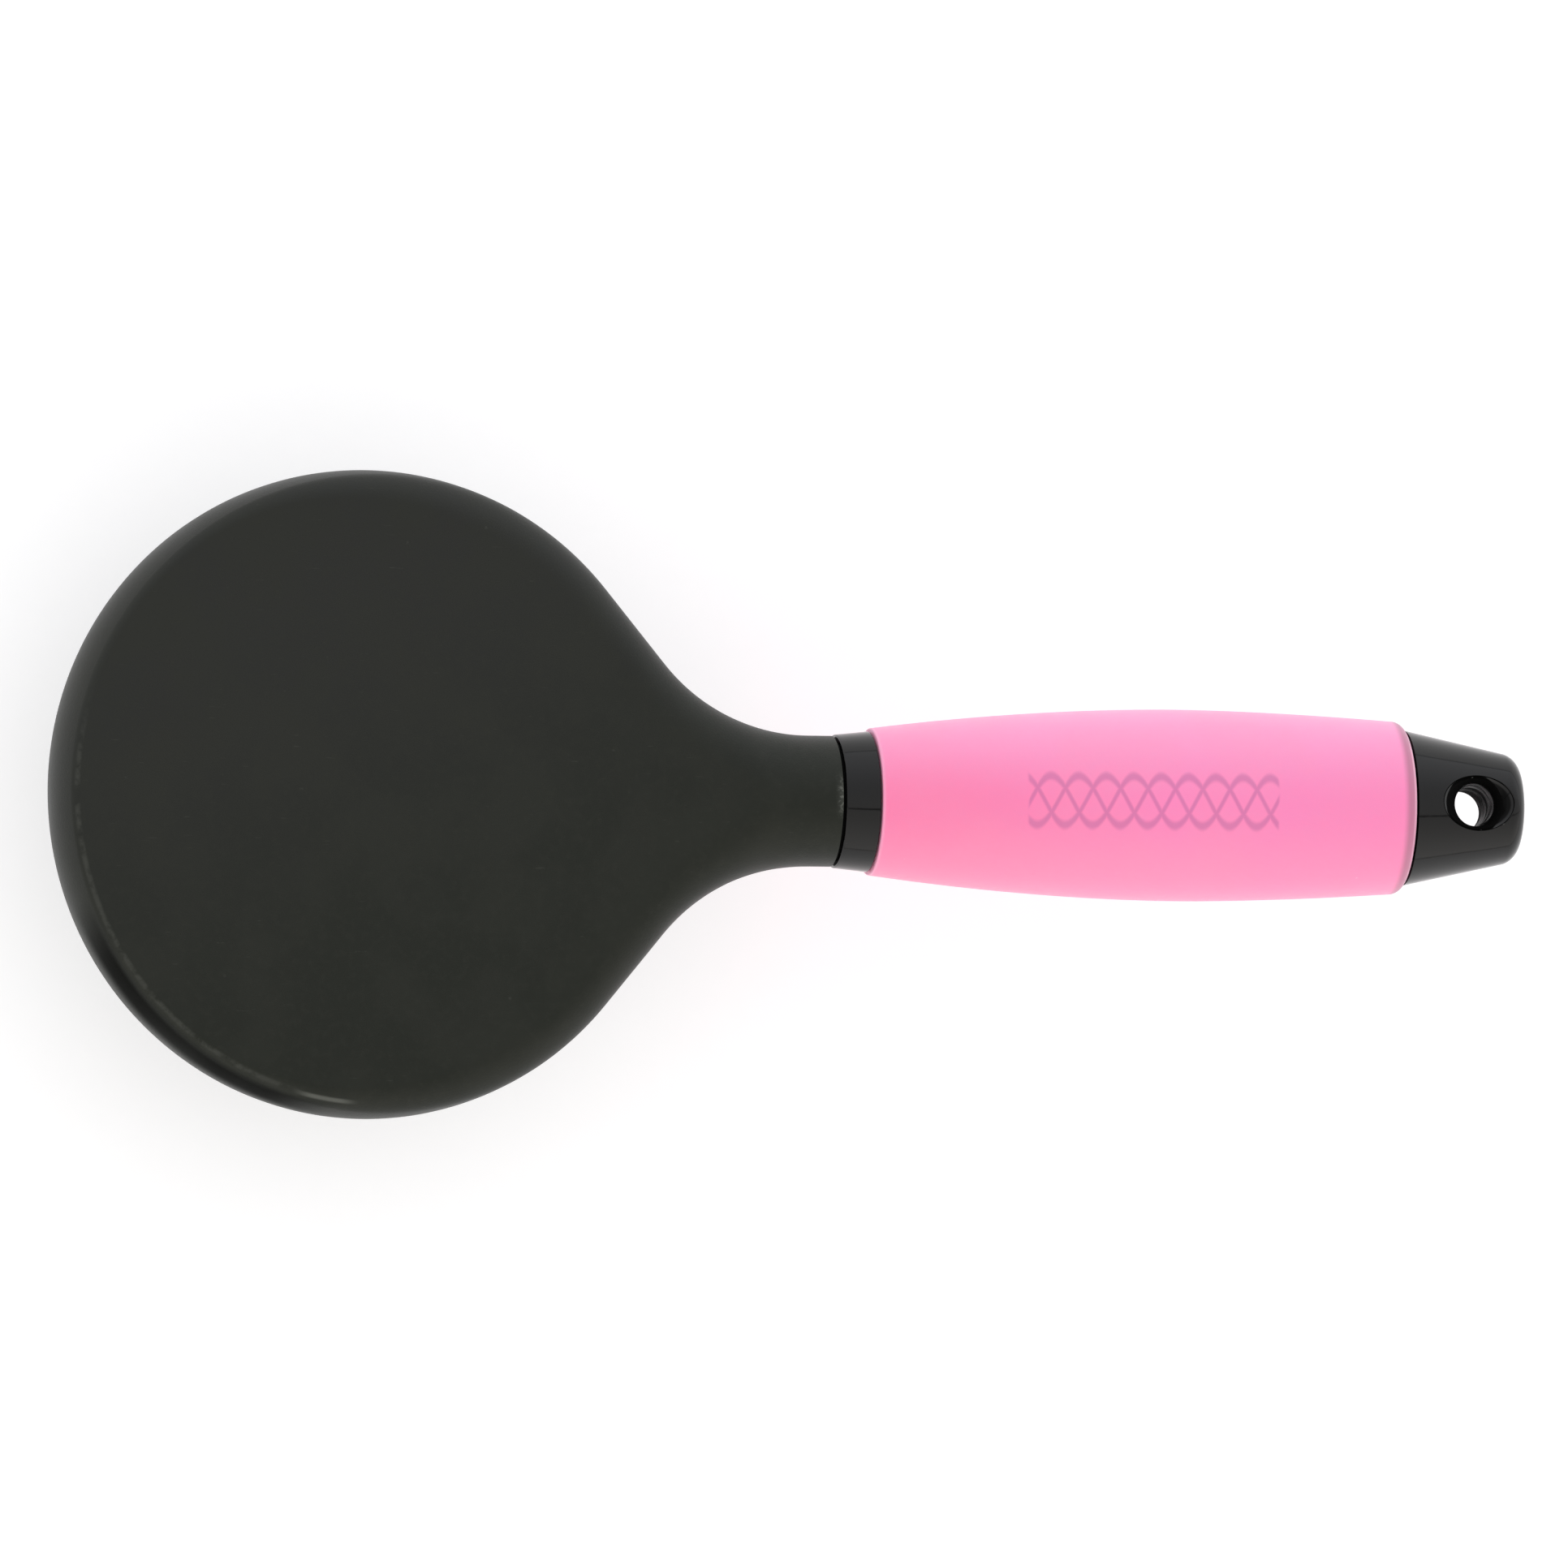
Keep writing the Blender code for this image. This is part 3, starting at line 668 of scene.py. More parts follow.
@dataclass(frozen=True)
class PinWire(Finish):
    """Bright drawn steel wire that ends in a bead of black epoxy.

    bead_from is the height where the bead takes over from the wire, in the pin's own frame.
    """

    bead_from: float = -19.6 * MM
    steel: Colour = (0.62, 0.61, 0.6)
    epoxy: Colour = (0.012, 0.012, 0.013)
    draw_size: float = 0.09 * MM
    relief: float = 0.004 * MM

    def paint(self, tree: ShaderTree) -> None:
        """Fills the material's node tree.

        Args:
            tree: The empty tree.
        """
        place = tree.coordinates()
        _, _, z = tree.axes(place)
        drawn = tree.noise(tree.stretch(place, (1, 1, 0.03)), self.draw_size, 2)
        bead = tree.ease(z, self.bead_from, self.bead_from + 0.08 * MM, 1, 0)
        steel = tree.mix(drawn, self.steel, [c * 0.8 for c in self.steel])
        tree.surface(
            Base_Color=tree.mix(bead, steel, self.epoxy),
            Metallic=1 - bead,
            Roughness=0.2 + 0.12 * drawn - 0.08 * bead,
            Normal=tree.bump(drawn * (1 - bead), self.relief),
        )


@dataclass(frozen=True)
class Felt(Finish):
    """Pale pressed felt."""

    colour: Colour = (0.42, 0.41, 0.38)
    fibre_size: float = 0.5 * MM
    relief: float = 0.2 * MM

    def paint(self, tree: ShaderTree) -> None:
        """Fills the material's node tree.

        Args:
            tree: The empty tree.
        """
        place = tree.coordinates()
        fibres = tree.noise(tree.stretch(place, (1, 0.35, 1)), self.fibre_size, 4, 0.7)
        tree.surface(
            Base_Color=tree.mix(fibres, self.colour, [c * 0.7 for c in self.colour]),
            Roughness=0.92,
            Normal=tree.bump(fibres, self.relief),
        )


@dataclass(frozen=True)
class LitTable(Finish):
    """A pale table top that is lit from within, so that shadows on it stay faint."""

    pale: Colour = (0.62, 0.62, 0.62)
    dimmer: Colour = (0.6, 0.6, 0.6)
    glow: float = 0.5

    def paint(self, tree: ShaderTree) -> None:
        """Fills the material's node tree.

        Args:
            tree: The empty tree.
        """
        grain = tree.noise(tree.coordinates(), 3 * MM, 2)
        tree.surface(
            Base_Color=tree.mix(grain, self.pale, self.dimmer),
            Roughness=0.9,
            Specular_IOR_Level=0.1,
            Emission_Color=(1.0, 1.0, 1.0),
            Emission_Strength=self.glow,
        )


# ---- Mesh building ------------------------------------------------------------------------------


class Turn(Enum):
    """The axis that a profile is spun round."""

    X = "X"
    Z = "Z"


def smooth(value: float, low: float, high: float) -> float:
    """0 below low, 1 above high, and an even S between them."""
    share = min(1.0, max(0.0, (value - low) / (high - low)))
    return share * share * (3 - 2 * share)


def arc(centre: Point, radius: float, start: float, end: float, steps: int) -> Iterator[Point]:
    """An arc in profile space.

    Args:
        centre: Its centre, as along and radius.
        radius: Its radius.
        start: The angle that it starts at, in degrees from the direction of along.
        end: The angle that it ends at.
        steps: How many steps it has.

    Returns:
        The arc's points, with both ends.
    """
    for i in range(steps + 1):
        angle = math.radians(start + (end - start) * i / steps)
        yield (centre[0] + radius * math.cos(angle), centre[1] + radius * math.sin(angle))


def spread(start: float, end: float, steps: int) -> list[float]:
    """Evenly spaced values from start to end, both included."""
    return [start + (end - start) * i / steps for i in range(steps + 1)]


def eased(corners: Sequence[tuple[float, float, float]], steps: int = 5) -> list[Point]:
    """Rounds the corners of a closed profile.

    Args:
        corners: Each corner's along, radius and rounding.
        steps: Steps in each rounding.

    Returns:
        The profile with an arc at each corner whose rounding isn't 0.
    """
    profile: list[Point] = []
    for i, (a, r, rounding) in enumerate(corners):
        here = Vector((a, r))
        before = (Vector(corners[i - 1][:2]) - here).normalized()
        after = (Vector(corners[(i + 1) % len(corners)][:2]) - here).normalized()
        half = before.angle(after) / 2 if rounding else math.pi / 2
        if not rounding or half > math.radians(88):
            profile.append((a, r))
            continue
        centre = here + (before + after).normalized() * rounding / math.sin(half)
        first = here + before * rounding / math.tan(half) - centre
        last = here + after * rounding / math.tan(half) - centre
        for step in range(steps + 1):
            direction = first.lerp(last, step / steps).normalized()
            profile.append(tuple(centre + direction * rounding))
    return profile


class Maker:
    """Turns bmeshes into finished, smooth-shaded objects in the scene."""

    SHARP = math.radians(38)
    WELD = 0.0005 * MM

    @classmethod
    def link(cls, name: str, bm: bmesh.types.BMesh) -> bpy.types.Object:
        """Makes a linked object from a bmesh, which it frees.

        Args:
            name: The object's name.
            bm: The mesh, whose points that coincide are joined first.

        Returns:
            The object.
        """
        bmesh.ops.remove_doubles(bm, verts=bm.verts, dist=cls.WELD)
        bmesh.ops.recalc_face_normals(bm, faces=bm.faces)
        mesh = bpy.data.meshes.new(name)
        bm.to_mesh(mesh)
        bm.free()
        return cls.shaded(name, mesh)

    @classmethod
    def shaded(cls, name: str, mesh: bpy.types.Mesh) -> bpy.types.Object:
        """Makes a linked, smooth-shaded object.

        Args:
            name: The object's name.
            mesh: Its mesh.

        Returns:
            The object.
        """
        mesh.shade_smooth()
        mesh.set_sharp_from_angle(angle=cls.SHARP)
        obj = bpy.data.objects.new(name, mesh)
        bpy.context.scene.collection.objects.link(obj)
        return obj

    @classmethod
    def turned(cls, name: str, profile: Iterable[Point], sides: int, turn: Turn) -> bpy.types.Object:
        """Spins a closed (along, radius) profile round the X or Z axis.

        Args:
            name: The object's name.
            profile: The profile's points, in order.
            sides: Steps in the turn.
            turn: The axis.

        Returns:
            The turned object.
        """
        along, out = Vector((1, 0, 0)), Vector((0, 0, 1))
        if turn is Turn.Z:
            along, out = out, along
        bm = bmesh.new()
        verts = [bm.verts.new(along * a + out * r) for a, r in profile]
        pairs = list(zip(verts, verts[1:] + verts[:1]))
        for a, b in pairs:
            if (a.co - along * a.co.dot(along)).length + (b.co - along * b.co.dot(along)).length > 1e-9:
                bm.edges.new((a, b))
        bmesh.ops.spin(
            bm, geom=bm.verts[:] + bm.edges[:], cent=(0, 0, 0), axis=along, angle=2 * math.pi, steps=sides
        )
        return cls.link(name, bm)

    @classmethod
    def cut(cls, obj: bpy.types.Object, *cutters: bpy.types.Object) -> bpy.types.Object:
        """Takes the cutters' shapes out of an object, and removes the cutters.

        Args:
            obj: The object, which is replaced by the result.
            cutters: Closed objects in place.

        Returns:
            The cut object, under the same name.
        """
        for cutter in cutters:
            boolean = obj.modifiers.new(cutter.name, "BOOLEAN")
            boolean.operation = "DIFFERENCE"
            boolean.object = cutter
        bpy.context.view_layer.update()
        depsgraph = bpy.context.evaluated_depsgraph_get()
        mesh = bpy.data.meshes.new_from_object(obj.evaluated_get(depsgraph))
        name, place = obj.name, obj.matrix_world.copy()
        for old in (obj, *cutters):
            bpy.data.objects.remove(old)
        made = cls.shaded(name, mesh)
        made.matrix_world = place
        return made


# ---- The brush ----------------------------------------------------------------------------------


@dataclass
class Paddle:
    """The body: a round flat head that narrows through a shoulder and a fillet into a round neck."""

    NECK_STATIONS: ClassVar[Sequence[float]] = (0.4, 0.75, 1.0)
    WELD: ClassVar[float] = 0.03 * MM
    head_radius: float = 52.9 * MM
    shoulder_angle: float = math.radians(40.0)
    shoulder_fillet: float = 32.0 * MM
    neck_radius: float = 10.7 * MM
    neck_straight: float = 3.8 * MM
    rise: float = math.radians(4.0)
    thickness: float = 14.5 * MM
    side_radius: float = 13.0 * MM
    softening_start: float = -45.0 * MM
    back_round: float = 0.9 * MM
    front_round: float = 2.0 * MM
    pocket_radius: float = 43.9 * MM
    pocket_margin: float = 3.0 * MM
    back_wall: float = 4.0 * MM
    groove_level: float = -11.3 * MM
    groove_radius: float = 1.8 * MM
    socket_radius: float = 6.9 * MM
    socket_depth: float = 24.3 * MM
    seam_gap: float = 0.5 * MM
    finish: Finish = field(
        default_factory=lambda: SoftTouch("soft_touch_black_plastic", "soft_touch_black")
    )

    def __post_init__(self) -> None:
        """Works out where the shoulder and the fillet end."""
        angle, fillet = self.shoulder_angle, self.shoulder_fillet
        drop = self.head_radius * math.sin(angle) - self.neck_radius
        self.shoulder = (drop - fillet * (1 - math.sin(angle))) / math.cos(angle)
        self.fillet_end = (self.head_radius + fillet) * math.cos(angle) + self.shoulder * math.sin(angle)
        self.neck_end = self.fillet_end + self.neck_straight
        self.blend_start = self.pocket_radius + self.pocket_margin

    def centre_line(self, along: float) -> tuple[float, float, float]:
        """Follows the body's centre line, which stays in the XZ plane.

        Args:
            along: Length along the line, from the head's centre.

        Returns:
            The point's x and z, and the line's heading there.
        """
        steps = 24
        x, z = min(along, self.blend_start), -self.thickness / 2
        step = (along - x) / steps
        for i in range(steps):
            heading = self.rise * smooth(x + step / 2, self.blend_start, self.neck_end - self.seam_gap)
            x += step * math.cos(heading)
            z += step * math.sin(heading)
        return x, z, self.rise * smooth(along, self.blend_start, self.neck_end - self.seam_gap)

    def handle_place(self) -> Matrix:
        """The handle's frame: its origin is at the seam and its X axis runs along the handle."""
        x, z, heading = self.centre_line(self.neck_end)
        return Matrix.Translation((x, 0, z)) @ Matrix.Rotation(-heading, 4, "Y")

    def outline(self) -> Iterator[tuple[Vector, Vector]]:
        """Half of the plan outline, from the tip to the seam.

        Returns:
            Each point with its inward normal.
        """
        head_steps, shoulder_steps, fillet_steps = 96, 12, 30
        for i in range(head_steps + 1):
            angle = math.pi + (self.shoulder_angle - math.pi) * i / head_steps
            out = Vector((math.cos(angle), math.sin(angle)))
            yield out * self.head_radius, -out
        out = Vector((math.cos(self.shoulder_angle), math.sin(self.shoulder_angle)))
        slope = Vector((out.y, -out.x)) * self.shoulder
        for i in range(1, shoulder_steps + 1):
            yield out * self.head_radius + slope * i / shoulder_steps, -out
        centre = Vector((self.fillet_end, self.neck_radius + self.shoulder_fillet))
        for i in range(1, fillet_steps + 1):
            angle = self.shoulder_angle + (math.pi / 2 - self.shoulder_angle) * i / fillet_steps
            out = Vector((math.cos(angle), math.sin(angle)))
            yield centre - out * self.shoulder_fillet, -out
        for share in self.NECK_STATIONS:
            yield Vector((self.fillet_end + self.neck_straight * share, self.neck_radius)), Vector((0, -1))

    def half_thickness(self, x: float) -> float:
        """Half the body's thickness at this length."""
        half = self.thickness / 2
        return half + (self.neck_radius - half) * smooth(x, self.blend_start, self.neck_end)

    def section(self, point: Vector, inward: Vector) -> list[Vector]:
        """The section at one station, from the centre line's top round the side to its underside.

        Args:
            point: The station's place on the plan outline.
            inward: The outline's inward normal there.

        Returns:
            The section's points.
        """
        back_steps, wall_steps, front_steps = 14, 10, 8
        support = 0.35 * MM
        reach = point.y / -inward.y if inward.y < -1e-6 else self.head_radius
        side = self.half_thickness(point.x)
        back_share = smooth(point.x, self.softening_start, self.fillet_end)
        back_round = self.back_round + (side - self.back_round) * back_share
        front_share = smooth(point.x, self.blend_start, self.neck_end - self.seam_gap)
        front_round = self.front_round + (side - self.front_round) * front_share
        bulge_share = 1 - smooth(point.x, 0, self.neck_end - self.seam_gap)

        def bulge(height: float) -> float:
            """How far in from its widest line the side is at this height from the middle."""
            return bulge_share * (self.side_radius - math.sqrt(self.side_radius**2 - height**2))

        def at(depth: float, sign: int, drop: float = 0.0) -> Vector:
            """Places one point of the section.

            Args:
                depth: How far in from the outline it is.
                sign: 1 for the back, -1 for the front.
                drop: How far it is below that face.

            Returns:
                The point.
            """
            plan = point + inward * min(depth, reach)
            height = sign * (self.half_thickness(plan.x) - drop)
            x, z, heading = self.centre_line(plan.x)
            return Vector((x - height * math.sin(heading), plan.y, z + height * math.cos(heading)))

        def middle(edge: float, sign: int) -> tuple[list[Vector], float]:
            """The flat middle of one face, which closes up as the neck becomes round.

            Args:
                edge: How far in from the side the face's rounding ends.
                sign: 1 for the back, -1 for the front.

            Returns:
                Points from the centre line to the rounding, and how much wider the rounding grows.
            """
            flat = reach - edge
            flat *= smooth(flat, 2 * support, 10 * support)
            depths = (reach, reach - flat / 2, reach - flat + min(support, 0.3 * flat))
            return [at(depth, sign) for depth in depths], (reach - flat) / edge

        section, spread_out = middle(bulge(side) + back_round, 1)
        for i in range(back_steps + 1):
            turn = math.pi / 2 * (1 - i / back_steps)
            drop = back_round * (1 - math.sin(turn))
            depth = bulge(side - drop) + back_round * (1 - math.cos(turn))
            section.append(at(depth * spread_out, 1, drop))
        for i in range(1, wall_steps):
            height = (side - back_round) * (1 - i / wall_steps) - (side - front_round) * i / wall_steps
            section.append(at(bulge(height), 1, side - height))
        under, spread_out = middle(bulge(side) + front_round, -1)
        for i in range(front_steps + 1):
            turn = math.pi / 2 * i / front_steps
            drop = front_round * (1 - math.sin(turn))
            depth = bulge(side - drop) + front_round * (1 - math.cos(turn))
            section.append(at(depth * spread_out, -1, drop))
        return section + under[::-1]

    def shell(self) -> bpy.types.Object:
        """Makes the body's outside.

        Returns:
            The solid body, closed at the seam.
        """
        bm = bmesh.new()
        half = [self.section(point, inward) for point, inward in self.outline()]
        other = [[Vector((p.x, -p.y, p.z)) for p in section] for section in half]
        for sections in (half, other):
            rows = [[bm.verts.new(p) for p in section] for section in sections]
            for near, far in zip(rows, rows[1:]):
                for i in range(len(near) - 1):
                    bm.faces.new((near[i], near[i + 1], far[i + 1], far[i]))
        bmesh.ops.remove_doubles(bm, verts=bm.verts, dist=self.WELD)
        bmesh.ops.contextual_create(bm, geom=[e for e in bm.edges if len(e.link_faces) == 1])
        return Maker.link("paddle", bm)

    def pocket(self) -> bpy.types.Object:
        """Makes the pad's pocket with its bead groove.

        Returns:
            The cutter.
        """
        below = -self.thickness - 1 * MM
        profile = [(below, 0), (below, self.pocket_radius)]
        profile += arc((self.groove_level, self.pocket_radius), self.groove_radius, 180, 0, 12)
        profile += [(-self.back_wall, self.pocket_radius), (-self.back_wall, 0)]
        return Maker.turned("pocket", profile, 160, Turn.Z)

    def socket(self) -> bpy.types.Object:
        """Makes the handle's socket in the neck.

        Returns:
            The cutter.
        """
        mouth, depth = 1 * MM, -self.socket_depth
        profile = [(mouth, 0), (mouth, self.socket_radius), (depth, self.socket_radius), (depth, 0)]
        made = Maker.turned("socket", profile, 64, Turn.X)
        made.matrix_world = self.handle_place()
        return made

    def build(self) -> bpy.types.Object:
        """Makes the body, which stands for its CAD node.

        Returns:
            The body.
        """
        body = Maker.cut(self.shell(), self.pocket(), self.socket())
        self.finish.dress(body)
        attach(body, BRUSH_BODY)
        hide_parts("paddle_body")
        LOG.info("paddle: %d faces", len(body.data.polygons))
        return body


@dataclass
class PinPad:
    """The rubber diaphragm with its pins, on a round field of a triangular grid."""

    radius: float = 43.6 * MM
    shoulder: float = 3.5 * MM
    rim_level: float = -14.5 * MM
    proud: float = 4.5 * MM
    crown: float = 1.2 * MM
    wall: float = 1.8 * MM
    bead_radius: float = 1.5 * MM
    bead_level: float = -11.3 * MM
    edge_margin: float = 2.5 * MM
    rings_squared: int = 12
    boss_radius: float = 2.1 * MM
    boss_height: float = 0.45 * MM
    pin_radius: float = 0.75 * MM
    pin_exposed: float = 22.0 * MM
    tip_radius: float = 1.3 * MM
    pin_head_radius: float = 2.0 * MM
    pin_head_height: float = 0.8 * MM
    gap: float = 0.3 * MM
    vent_radius: float = 0.8 * MM
    rubber: Finish = field(default_factory=lambda: Rubber("pad_black_rubber", "pad_rubber"))
    wire: Finish = field(default_factory=lambda: PinWire("pin_drawn_steel", "pin_steel"))
    felt: Finish = field(default_factory=lambda: Felt("backing_pale_felt", "backing_felt"))

    def __post_init__(self) -> None:
        """Works out the pin field and the spacing of its grid."""
        self.field_radius = self.radius - self.shoulder
        self.spacing = (self.field_radius - self.edge_margin) / math.sqrt(self.rings_squared)

    def level(self, radius: float) -> float:
        """Height of the pad's outer face at this distance from its centre."""
        return self.rim_level - self.proud + self.crown * (radius / self.field_radius) ** 2

    def places(self) -> Iterator[Vector]:
        """Finds where pins stand.

        Returns:
            The places, in the CAD nodes' order.
        """
        reach = int(math.sqrt(self.rings_squared)) + 1
        for row in range(-reach, reach + 1):
            for column in range(-reach, reach + 1):
                if row * row + row * column + column * column <= self.rings_squared:
                    x = (column + row / 2) * self.spacing
                    yield Vector((x, row * math.sqrt(3) / 2 * self.spacing, 0))

    def profile(self) -> list[Point]:
        """Draws the diaphragm: a shallow crown, a rolled shoulder, a skirt and the bead at its edge.

        Returns:
            The closed profile.
        """
        face_steps, inner_steps, roll_steps = 74, 12, 10
        face = [(self.level(r), r) for r in spread(0, self.field_radius, face_steps)[:-1]]
        edge = self.level(self.field_radius) + self.shoulder
        outer = face + list(arc((edge, self.field_radius), self.shoulder, 180, 90, roll_steps))
        outer.append((self.bead_level - self.bead_radius, self.radius))
        outer += arc((self.bead_level, self.radius), self.bead_radius, 150, 30, 10)
        outer.append((self.bead_level + self.bead_radius, self.radius))
        inner = [(self.bead_level + self.bead_radius, self.radius - self.wall)]
        inner += arc((edge, self.field_radius), self.shoulder - self.wall, 90, 180, roll_steps)
        rest = spread(self.field_radius, 0, inner_steps)[1:]
        return outer + inner + [(self.level(r) + self.wall, r) for r in rest]

    def diaphragm(self) -> bpy.types.Object:
        """Makes the rubber pad, with a low boss round each pin and real holes for pins and vent.

        Returns:
            The pad.
        """
        sides, hole_sides, margin = 360, 20, 2 * MM
        pad = Maker.turned("air_cushion_pad", self.profile(), sides, Turn.Z)
        count = len(pad.data.vertices)
        co = np.empty(count * 3)
        pad.data.vertices.foreach_get("co", co)
        co = co.reshape(-1, 3)
        from_centre = np.hypot(co[:, 0], co[:, 1])
        crown = self.rim_level - self.proud + self.crown * (from_centre / self.field_radius) ** 2
        outside = (from_centre < self.field_radius) & (co[:, 2] < crown + self.wall / 2)
        for place in self.places():
            near = np.hypot(co[:, 0] - place.x, co[:, 1] - place.y) / self.boss_radius
            bump = np.clip(1 - near**2, 0, 1) ** 1.5
            co[:, 2] -= np.where(outside, self.boss_height * bump, 0)
        pad.data.vertices.foreach_set("co", co.reshape(-1))
        pad.data.update()
        cutter = bmesh.new()
        holes = [(place, self.pin_radius + self.gap / 2) for place in self.places()]
        holes.append((Vector((self.spacing / 2, self.spacing / (2 * math.sqrt(3)), 0)), self.vent_radius))
        low, high = self.level(0) - margin, self.level(self.field_radius) + self.wall + margin
        for place, radius in holes:
            bmesh.ops.create_cone(
                cutter,
                cap_ends=True,
                segments=hole_sides,
                radius1=radius,
                radius2=radius,
                depth=high - low,
                matrix=Matrix.Translation((place.x, place.y, (high + low) / 2)),
            )
        return Maker.cut(pad, Maker.link("pin_holes", cutter))

    def pin_profile(self) -> list[Point]:
        """Draws one pin with its flat head uppermost.

        Returns:
            The closed profile, measured from the pad's outer face.
        """
        head, top = self.wall + self.gap, self.wall + self.gap + self.pin_head_height
        tip, edge = self.pin_exposed - self.tip_radius, 0.2 * MM
        neck = math.degrees(math.asin(self.pin_radius / self.tip_radius))
        profile = [(top, 0.0), *arc((top - edge, self.pin_head_radius - edge), edge, 0, 90, 3)]
        profile += [(head, self.pin_head_radius), (head, self.pin_radius), (0, self.pin_radius)]
        profile += [(-tip / 2, self.pin_radius)]
        return profile + list(arc((-tip, 0), self.tip_radius, neck, 180, 12))

    def pins(self) -> list[bpy.types.Object]:
        """Makes the pins, which share one mesh and each stand for a CAD node.

        Returns:
            The pins.
        """
        made: list[bpy.types.Object] = []
        for number, place in enumerate(self.places(), 1):
            name = f"steel_pin_{number:02d}"
            if made:
                pin = bpy.data.objects.new(name, made[0].data)
                bpy.context.scene.collection.objects.link(pin)
            else:
                pin = Maker.turned(name, self.pin_profile(), 24, Turn.Z)
                self.wire.dress(pin)
            pin.location = (place.x, place.y, self.level(place.length))
            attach(pin, PIN_BODY)
            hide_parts(f"pin_{number:02d}")
            made.append(pin)
        return made

    def build(self) -> None:
        """Makes the pad and its pins, and dresses the sheet behind them."""
        pad = self.diaphragm()
        self.rubber.dress(pad)
        self.level(self.field_radius)
        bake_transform(pad)
        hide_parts("cushion_pad")
        pins = self.pins()
        self.felt.dress(frame["nodes"]["pin_backing_sheet"])
        LOG.info("pin pad: %d faces and %d pins", len(pad.data.polygons), len(pins))


@dataclass
class Handle:
    """Collar ring, gel sleeve over its core, and the end cap, along one axis from the seam.

    The nose's rounding stops at nose_end, in degrees from the axis, where its low crown starts.
    """

    NOSE_RINGS: ClassVar[Sequence[float]] = (0.8, 0.6, 0.4, 0.2, 0.0)
    place: Matrix
    heading: float = math.radians(4.0)
    seam_gap: float = 0.5 * MM
    gap: float = 0.3 * MM
    bore: float = 6.9 * MM
    tongue_gap: float = 0.03 * MM
    collar_length: float = 5.6 * MM
    collar_tongue: float = 9.8 * MM
    collar_front: float = 10.9 * MM
    collar_rear: float = 11.5 * MM
    sleeve_length: float = 89.0 * MM
    sleeve_front: float = 12.0 * MM
    sleeve_belly: float = 15.65 * MM
    sleeve_belly_at: float = 51.0 * MM
    sleeve_rear: float = 14.0 * MM
    sleeve_round: float = 2.0 * MM
    front_power: float = 1.85
    rear_power: float = 1.7
    wall_front: float = 3.0 * MM
    wall_belly: float = 4.6 * MM
    plug_length: float = 18.0 * MM
    plug_radius: float = 6.6 * MM
    cap_front: float = 12.7 * MM
    cap_tongue: float = 11.2 * MM
    cone_length: float = 16.4 * MM
    cone_end: float = 9.1 * MM
    nose_radius: float = 3.4 * MM
    nose_end: float = 12.0
    crown: float = 0.9 * MM
    hole_radius: float = 3.4 * MM
    hole_at: float = 10.6 * MM
    mouth_length: float = 12.6 * MM
    mouth_width: float = 9.1 * MM
    flare_depth: float = 4.8 * MM
    flare_power: float = 2.5
    mouth_rim: float = 0.93
    cap_turn: float = math.radians(-3.5)
    gel: Finish = field(default_factory=lambda: Gel("pink_gel_rubber", "pink_gel"))
    moulding: Finish = field(default_factory=lambda: Moulding("pink_core_plastic", "pink_core"))

    def __post_init__(self) -> None:
        """Works out where the sleeve and the cap start."""
        self.sleeve_start = self.seam_gap + self.collar_length + self.gap
        self.sleeve_end = self.sleeve_start + self.sleeve_length
        self.cap_start = self.sleeve_end + self.gap

    def outer(self, along: float) -> float:
        """The sleeve's radius: a slim front, a belly and a fuller rear.

        Args:
            along: Length from the seam.

        Returns:
            The radius there.
        """
        belly = self.sleeve_start + self.sleeve_belly_at
        if along < belly:
            share = (belly - along) / (belly - self.sleeve_start)
            return self.sleeve_belly - (self.sleeve_belly - self.sleeve_front) * share**self.front_power
        share = (along - belly) / (self.sleeve_end - belly)
        return self.sleeve_belly - (self.sleeve_belly - self.sleeve_rear) * share**self.rear_power

    def inner(self, along: float) -> float:
        """The radius of the sleeve's bore."""
        share = smooth(along, self.sleeve_start, self.sleeve_start + self.sleeve_belly_at)
        return self.outer(along) - self.wall_front - (self.wall_belly - self.wall_front) * share

    def settle(self, made: bpy.types.Object, finish: Finish, node: str, along: float = 0.0) -> None:
        """Puts a handle piece in place, dresses it and hides the CAD node that it stands for.

        Args:
            made: The piece, modelled along X from the seam.
            finish: Its finish.
            node: The CAD node that it stands for.
            along: Where on the handle's axis the finish's own frame starts.
        """
        made.data.transform(self.place)
        origin = tuple(self.place @ Vector((along, 0, 0)))
        replace(finish, origin=origin, heading=self.heading).dress(made)
        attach(made, BRUSH_BODY)
        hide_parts(node)
        LOG.info("%s: %d faces", made.name, len(made.data.polygons))

    def collar(self) -> None:
        """The glossy ring between neck and sleeve, with a low tongue at each end that fills its seam."""
        front, rear = self.seam_gap, self.seam_gap + self.collar_length
        first, last = self.tongue_gap, self.sleeve_start - self.tongue_gap
        corners = [
            (first, self.bore, 0),
            (first, self.collar_tongue, 0),
            (front, self.collar_tongue, 0),
            (front, self.collar_front, 0.3 * MM),
            (rear, self.collar_rear, 0.12 * MM),
            (rear, self.collar_tongue, 0),
            (last, self.collar_tongue, 0),
            (last, self.bore, 0),
        ]
        made = Maker.turned("collar", eased(corners, 4), 160, Turn.X)
        # Outside the ring's ends its tongues turn matt and near black: painted shade in the seams.
        gloss = Polished("polished_black_plastic", "gloss_black", ends=(0.0, self.collar_length))
        self.settle(made, gloss, "collar_ring", self.seam_gap)

